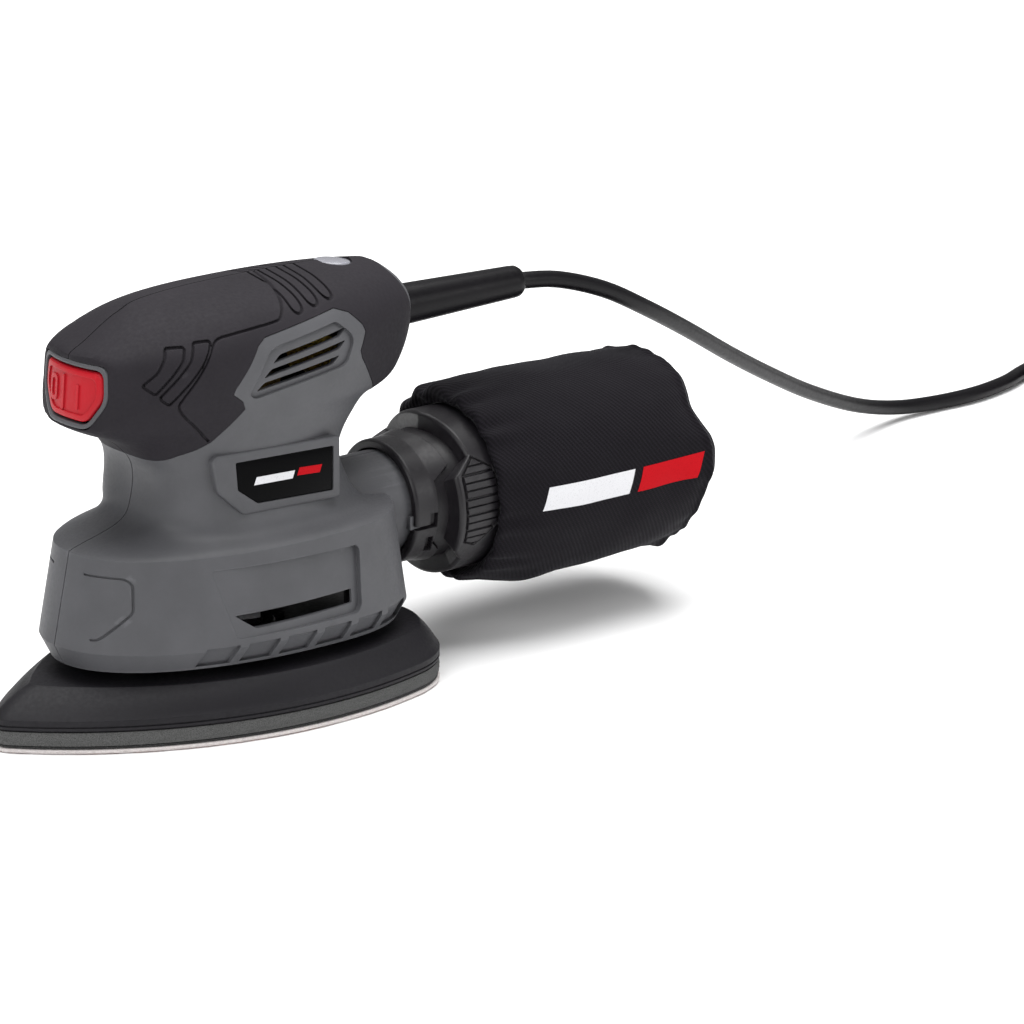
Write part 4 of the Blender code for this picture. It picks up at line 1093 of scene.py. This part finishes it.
def platen_levels():
    """A band with a groove round it, then a slightly bulging slope up to the flat top."""
    bottom = FOAM_TOP + 0.3
    band = [(bottom, 0.5), (bottom + 0.4, 0.05), (bottom + 1.1, 0.0), (bottom + 1.2, 0.35),
            (bottom + 1.5, 0.35), (bottom + 1.6, 0.0), (BAND_TOP - 0.4, 0.0), (BAND_TOP, 0.35)]
    levels = [(z, pad_outline(inset)) for z, inset in band]
    low, high = pad_outline(0.35), top_outline(0.0)
    for k in range(1, 9):
        share = k / 9
        bulge = 0.5 * math.sin(math.pi * share)
        outline = [(a[0] + (b[0] - a[0]) * share, a[1] + (b[1] - a[1]) * share) for a, b in zip(low, high)]
        levels.append((BAND_TOP + (PLATEN_TOP - 0.5 - BAND_TOP) * share + bulge, outline))
    top = ((0.45, 0.0), (0.1, 0.4), (0, 1.0))
    return levels + [(PLATEN_TOP - drop, top_outline(inset)) for drop, inset in top]


def make_platen():
    """The pad's plate, with the drive bearing's ribbed boss and the dust holes."""
    platen = loft("pad_plate", platen_levels(), PLATEN_BLACK)
    centre = (PIN_X, 0, 0)
    boss = lathe("boss", [(0, 15), (13.5, 15), (13.5, 21), (13, 21.5), (0, 21.5)], centre, "Z")
    pocket = lathe("pocket", [(0, 10.5), (9.9, 10.5), (9.9, 40), (0, 40)], centre, "Z")
    cut(platen, boss, operation="UNION")
    ribs = []
    for k in range(12):
        angle = math.tau * k / 12 + 0.13
        along = Vector((math.cos(angle), math.sin(angle)))
        aside = Vector((-math.sin(angle), math.cos(angle))) * 0.6
        start, end = Vector((PIN_X, 0)) + along * 13, Vector((PIN_X, 0)) + along * 22
        outline = [tuple(start + aside), tuple(end + aside), tuple(end - aside), tuple(start - aside)]
        ribs.append(prism(f"rib_{k}", outline, 15, 18.6))
    cut(platen, joined("ribs", ribs), operation="UNION")
    cut(platen, pocket, dust_holes(PLATEN_TOP - 2.5))
    finish_piece(platen, PLATEN_BLACK, "pad", ["platen"], 24)


def ragged(obj, amount, scale, low, high):
    """Push the sides of a flat piece in and out a little, as in a cut foam or paper edge."""
    for vert in obj.data.vertices:
        x, y, z = (c / MM for c in vert.co)
        if low <= z <= high:
            away = Vector((x, y, 0)).normalized()
            push = noise.noise(Vector((x, y, z * 3)) * scale) * amount
            vert.co += away * push * MM
    return obj


def make_soft_stack():
    """The foam, the hook layer and the sanding sheet under the platen."""
    foam_low = HOOK_TOP + 0.6
    count = 9
    levels = []
    for k in range(count + 1):
        share = k / count
        inset = 0.35 - 0.3 * math.sin(math.pi * share)
        levels.append((foam_low + (FOAM_TOP - foam_low) * share, pad_outline(inset)))
    foam = ragged(loft("foam_cushion", levels, FOAM), 0.22, 0.8, foam_low + 0.2, FOAM_TOP - 0.2)
    cut(foam, dust_holes())
    finish_piece(foam, FOAM, "pad", ["foam_pad"], 50)

    hook_low = SHEET_TOP + 0.25
    hook = loft("hooks", [(hook_low, pad_outline(0.5)), (HOOK_TOP + 0.35, pad_outline(0.5))], HOOKS)
    cut(hook, dust_holes())
    finish_piece(hook, HOOKS, "pad", ["hook_layer"], 50)

    edge = [(0.0, 0.3), (0.25, 0.05), (0.6, 0.0), (0.95, 0.15), (SHEET_TOP, 0.4)]
    levels = [(z, pad_outline(inset)) for z, inset in edge]
    sheet = ragged(loft("abrasive", levels, SHEET), 0.3, 0.5, 0.1, 1.2)
    cut(sheet, dust_holes())
    finish_piece(sheet, SHEET, "pad", ["sanding_sheet"], 50)


# ---------------------------------------------------------------- dust adapter and bag

def folded_angle(angle):
    """Angle above the -Y side, the same on the +Y side, from -90 below to 90 on top."""
    degrees = (math.degrees(angle) + 180) % 360 - 180
    if degrees > 90:
        return 180 - degrees
    if degrees < -90:
        return -180 - degrees
    return degrees


# the front edge of the adapter's grip ring, x at each angle, then outlines of x and angle on its side
RING_FRONT = [(-90, 73.6), (-55, 74.0), (-42, 73.4), (-32, 69.9), (3, 69.4), (25, 69.2), (38, 76.0),
              (60, 75.0), (90, 73.2)]
THUMB_PAD = [(77.0, 37.0), (83.2, 27), (84.6, 10), (84.0, -13), (76.6, -29), (72.0, -24), (71.4, 3),
             (71.4, 25)]
L_SLOTS = [[(62.9, -1), (65.3, -1), (65.3, -15), (62.9, -15)],
           [(57.0, -11.6), (64.2, -11.6), (64.2, -15), (57.0, -15)],
           [(62.4, -25), (64.6, -25), (66.2, -44), (64.0, -44)]]
BARREL_START, BARREL_END, BARREL_RADIUS = 57.6, 78.0, 18.8
RING_END, RING_RADIUS = 86.6, 24.6
DEGREE = 0.42                # arc length of one degree round the ring


def between(keys, value):
    """The second number of the keys at a value of the first, read along straight lines."""
    for (a, p), (b, q) in zip(keys, keys[1:]):
        if value <= b:
            return p + (q - p) * (value - a) / (b - a)
    return keys[-1][1]


def inside(outline, x, y):
    """How far a point is inside an outline: positive inside, negative outside."""
    within = False
    nearest = 1e9
    for (x0, y0), (x1, y1) in zip(outline, outline[1:] + outline[:1]):
        if (y0 > y) != (y1 > y) and x < x0 + (x1 - x0) * (y - y0) / (y1 - y0):
            within = not within
        share = ((x - x0) * (x1 - x0) + (y - y0) * (y1 - y0)) / ((x1 - x0) ** 2 + (y1 - y0) ** 2)
        share = min(max(share, 0), 1)
        nearest = min(nearest, math.dist((x, y), (x0 + (x1 - x0) * share, y0 + (y1 - y0) * share)))
    return nearest if within else -nearest


def port_point(x, radius, angle):
    """A point about the port's axis; angle 0 is the -Y side and 90 degrees the top."""
    return (x, -radius * math.cos(angle), PORT_Z + radius * math.sin(angle))


def tube_of_rows(name, rows, finish, smooth=40):
    """Rows of points round the port's axis, joined row to row and back to the first."""
    size = len(rows[0])
    points = [p for row in rows for p in row]
    faces = grid_faces(len(rows), size, wrap=True)
    last = (len(rows) - 1) * size
    faces += [(last + i, last + (i + 1) % size, (i + 1) % size, i) for i in range(size)]
    obj = tidy(mesh_object(name, points, faces, finish))
    return shade(obj, smooth)


def barrel_radius(x, degrees):
    """A rounded front edge, a slow flare, a step down under the grip ring and the bayonet slots."""
    radius = BARREL_RADIUS if x < 64.5 else BARREL_RADIUS + (x - 64.5) * 0.21
    radius -= 0.7 * max(0, BARREL_START + 1 - x) ** 2
    if x > between(RING_FRONT, degrees) - 4.6 and x > 65.5:
        radius -= 1.3
    if any(inside(slot, x, degrees) > 0 for slot in L_SLOTS):
        radius -= 1.6
    return radius


def ring_radius(x, degrees, front):
    """Rounded edges, and a ribbed thumb pad with a groove round it."""
    edge = min(x - front, RING_END - x)
    depth = inside([(a, b * DEGREE) for a, b in THUMB_PAD], x, degrees * DEGREE)
    if depth <= 0:
        return RING_RADIUS - 0.9 * max(0.0, 1 - edge / 1.1) ** 2
    if depth < 0.55:
        return 24.0
    return 24.25 if (degrees + 60) % 5.6 < 1.1 else 24.9


def make_adapter():
    """Barrel with bayonet slots, then a wider grip ring with a ribbed thumb pad on each side."""
    sides = 480
    angles = [math.tau * k / sides for k in range(sides)]
    folded = [folded_angle(a) for a in angles]
    barrel = []
    for k in range(71):
        x = BARREL_START + (BARREL_END - BARREL_START) * k / 70
        barrel.append([port_point(x, barrel_radius(x, degrees), angle)
                       for angle, degrees in zip(angles, folded)])
    for x, radius in ((BARREL_END - 0.1, 14.0), (69.7, 14.0), (69.6, 16.3), (BARREL_START + 0.1, 16.3)):
        barrel.append([port_point(x, radius, angle) for angle in angles])
    body = tube_of_rows("adapter_barrel", barrel, BLACK)

    fronts = [between(RING_FRONT, degrees) for degrees in folded]
    rows = []
    for k in range(81):
        row = []
        for angle, degrees, front in zip(angles, folded, fronts):
            x = front + (RING_END - front) * k / 80
            row.append(port_point(x, ring_radius(x, degrees, front), angle))
        rows.append(row)
    rows.append([port_point(RING_END, 22.7, angle) for angle in angles])
    for back, radius in ((1.4, 22.7), (0.6, 18.0), (0.05, 18.0)):
        rows.append([port_point(front + back, radius, angle) for front, angle in zip(fronts, angles)])
    ring = tube_of_rows("adapter_ring", rows, BLACK, 30)
    finish_piece(body, BLACK, "adapter", ["dust_adapter"], 35)
    finish_piece(ring, BLACK, "adapter", [], 30)


def make_collar():
    profile = [(22.2, 78.8), (22.2, 86.9), (25.6, 87.0), (26.2, 87.4), (26.2, 88.6), (25.8, 89.0),
               (20.4, 89.0), (20.4, 78.8)]
    collar = lathe("bag_ring", profile, (0, 0, PORT_Z), "X", 128)
    finish_piece(collar, BLACK, "bag", ["bag_collar"])


BAG_MOUTH, BAG_TIP = (84.6, 25.0), 166.0
BAG_SHAPE = [(84.0, 25.4), (82.6, 26.7), (83.6, 28.0), (88, 28.9), (95, 29.9), (104, 30.8), (116, 31.4),
             (140, 31.6), (152, 31.4), (158, 31.0), (161.0, 30.2), (162.8, 28.8), (163.6, 26.0),
             (164.6, 19.0), (165.6, 9.0), (BAG_TIP, 0.4)]
BAG_SEAM = 159.6             # where the round end is sewn in
BAG_DROP = 0.4
# soft puffs and dents of the sewn end: angle from the near side, spread, size
BAG_PUFFS = [(0.14, 0.22, 1.8), (0.62, 0.2, -1.0), (1.15, 0.3, 0.7), (-0.62, 0.2, -1.2),
             (-1.25, 0.3, 1.0), (2.6, 0.3, -1.0)]


def bag_point(x, radius, angle):
    """Puckers at the mouth, soft dents along the side, a rolled seam at the far end, and a little sag."""
    top = math.sin(angle)
    mouth = max(0.0, 1 - max(x - 83, 0) / 20)
    pucker = math.sin(19 * angle + 1.6 * noise.noise(Vector((math.cos(angle), top, 3.0)) * 2.2) * 3)
    radius += pucker * 0.75 * mouth ** 1.5 * min(1, max(0, radius - 24) / 5)
    far = max(0.0, 1 - abs(x - BAG_SEAM) / 9)
    rim = Vector((math.cos(angle), top, 0))
    radius += far * (2.3 * noise.noise(rim * 2.3 + Vector((0, 0, 7)))
                     + 0.9 * noise.noise(rim * 6 + Vector((3, 0, 0))))
    radius += 0.8 * max(0.0, 1 - abs(x - BAG_SEAM) / 1.8)
    radius += max(top, 0.0) * (2.0 - 3.2 * (x - 90) / 70) * min(1, max(0, radius - 24) / 5)
    radius += 1.3 * max(0.0, -top) ** 3 * max(0.0, 1 - abs(x - 103) / 12)
    place = Vector((x * 0.028, math.cos(angle) * 1.1, top * 1.1))
    radius += 1.5 * noise.noise(place + Vector((5, 1, 2))) * min(1, radius / 28)
    radius += 0.45 * noise.noise(place * 3.2) * min(1, radius / 28)
    turned = (angle + math.pi) % math.tau - math.pi
    puffed = sum(size * math.exp(-((turned - middle) / spread) ** 2) for middle, spread, size in BAG_PUFFS)
    puffed *= min(max((x - 146) / 16, 0), 1) * min(1, radius / 28)
    point = port_point(x + puffed, radius + 0.6 * puffed, angle)
    sag = 0.9 * math.sin(math.pi * min(max((x - 84) / 82, 0), 1))
    return (point[0], point[1], point[2] - BAG_DROP - sag)


def unrolled(bag, shape, sides):
    """UVs in metres: the way along the cloth, and the way round it at the bag's radius."""
    walked = [0.0]
    for start, end in zip([BAG_MOUTH] + shape, shape):
        walked.append(walked[-1] + math.dist(start, end) * MM)
    walked.append(walked[-1])
    uv = bag.data.uv_layers.new(name="cloth").data
    for polygon in bag.data.polygons:
        for loop in polygon.loop_indices:
            row, column = divmod(bag.data.loops[loop].vertex_index, sides)
            around = column / sides * math.tau
            if polygon.vertices[0] % sides > sides * 0.9 and column < sides * 0.1:
                around += math.tau
            uv[loop].uv = (walked[row], around * BAG_RADIUS * MM)


def make_bag():
    """The cloth as one surface from its turned-in mouth to its round end, given a thickness."""
    sides = 288
    angles = [math.tau * k / sides for k in range(sides)]
    shape = smoothed(BAG_SHAPE, 8)
    rows = [[port_point(*BAG_MOUTH, a) for a in angles]]
    rows += [[bag_point(x, r, a) for a in angles] for x, r in shape]
    points = [p for row in rows for p in row]
    faces = grid_faces(len(rows), sides, wrap=True)
    tip, last = len(points), (len(rows) - 1) * sides
    points.append((BAG_TIP, 0, PORT_Z - BAG_DROP))
    faces += [(last + i, last + (i + 1) % sides, tip) for i in range(sides)]
    bag = mesh_object("cloth_bag", points, faces, CLOTH)
    unrolled(bag, shape, sides)
    with editing(bag.data) as cloth:
        bmesh.ops.recalc_face_normals(cloth, faces=cloth.faces)
    wall = bag.modifiers.new("cloth", "SOLIDIFY")
    wall.thickness = 0.6 * MM
    wall.offset = -1
    applied(bag)
    finish_piece(bag, CLOTH, "bag", ["dust_bag"], 60)


def make_bag_print():
    """A white bar and a red bar printed along the side, in place of any lettering."""
    shape = smoothed(BAG_SHAPE[4:10], 8)
    low, rise, tall, lean = -5.0, 13.0, 14, 0.22
    for name, start, end, ink in (("white_stripe", 96.0, 128.8, WHITE_INK),
                                  ("red_stripe", 132.0, 154.6, RED_INK)):
        count = round((end - start) / 0.8)
        corners = []
        for i in range(count + 1):
            for k in range(tall + 1):
                degrees = low + rise * k / tall
                x = start + (end - start) * i / count + (degrees - low) * lean
                corners.append(bag_point(x, between(shape, x) + 0.12, math.radians(degrees)))
        stripe = mesh_object(name, corners, grid_faces(count + 1, tall + 1), ink)
        finish_piece(stripe, ink, "bag", [], 60)


# ---------------------------------------------------------------- pieces kept from the frame

# these keep their CAD shape; most of them lie inside the housing
KEPT_FINISHES = {
    "switch_body": BLACK, "capacitor": CAPACITOR, "cable_clamp": BLACK,
    "clamp_screw_left": STEEL, "clamp_screw_right": STEEL, "stator_core": LAMINATED,
    "field_coil_left": WINDING, "field_coil_right": WINDING, "bearing_plate": ALLOY,
    "lower_bearing": STEEL, "upper_bearing": STEEL, "upper_bracket": BLACK,
    "brush_holder_left": BRASS, "brush_holder_right": BRASS, "carbon_brush_left": CARBON,
    "carbon_brush_right": CARBON, "armature_shaft": STEEL, "armature_core": LAMINATED,
    "armature_winding_lower": WINDING, "armature_winding_upper": WINDING, "commutator": BRASS,
    "fan": BLACK, "eccentric": ALLOY, "drive_bearing": STEEL,
    "flexible_leg_1": RUBBER, "flexible_leg_2": RUBBER, "flexible_leg_3": RUBBER, "flexible_leg_4": RUBBER,
}


def finish_kept_nodes():
    for name, finish in KEPT_FINISHES.items():
        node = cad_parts[name]
        if not node.material_slots:
            node.data.materials.append(finish)
        for slot in node.material_slots:
            slot.material = finish


def main():
    make_camera()
    cord, cord_exit, cord_length = make_cord()
    plug = make_plug()
    make_floor()
    make_light()
    make_strain_relief()
    for side, sign in (("left", -1), ("right", 1)):
        make_half(side, sign)
        make_grip(side, sign)
        make_badge(side, sign)
    make_rocker()
    make_lens()
    make_screws()
    make_platen()
    make_soft_stack()
    make_adapter()
    make_collar()
    make_bag()
    make_bag_print()
    finish_kept_nodes()


main()
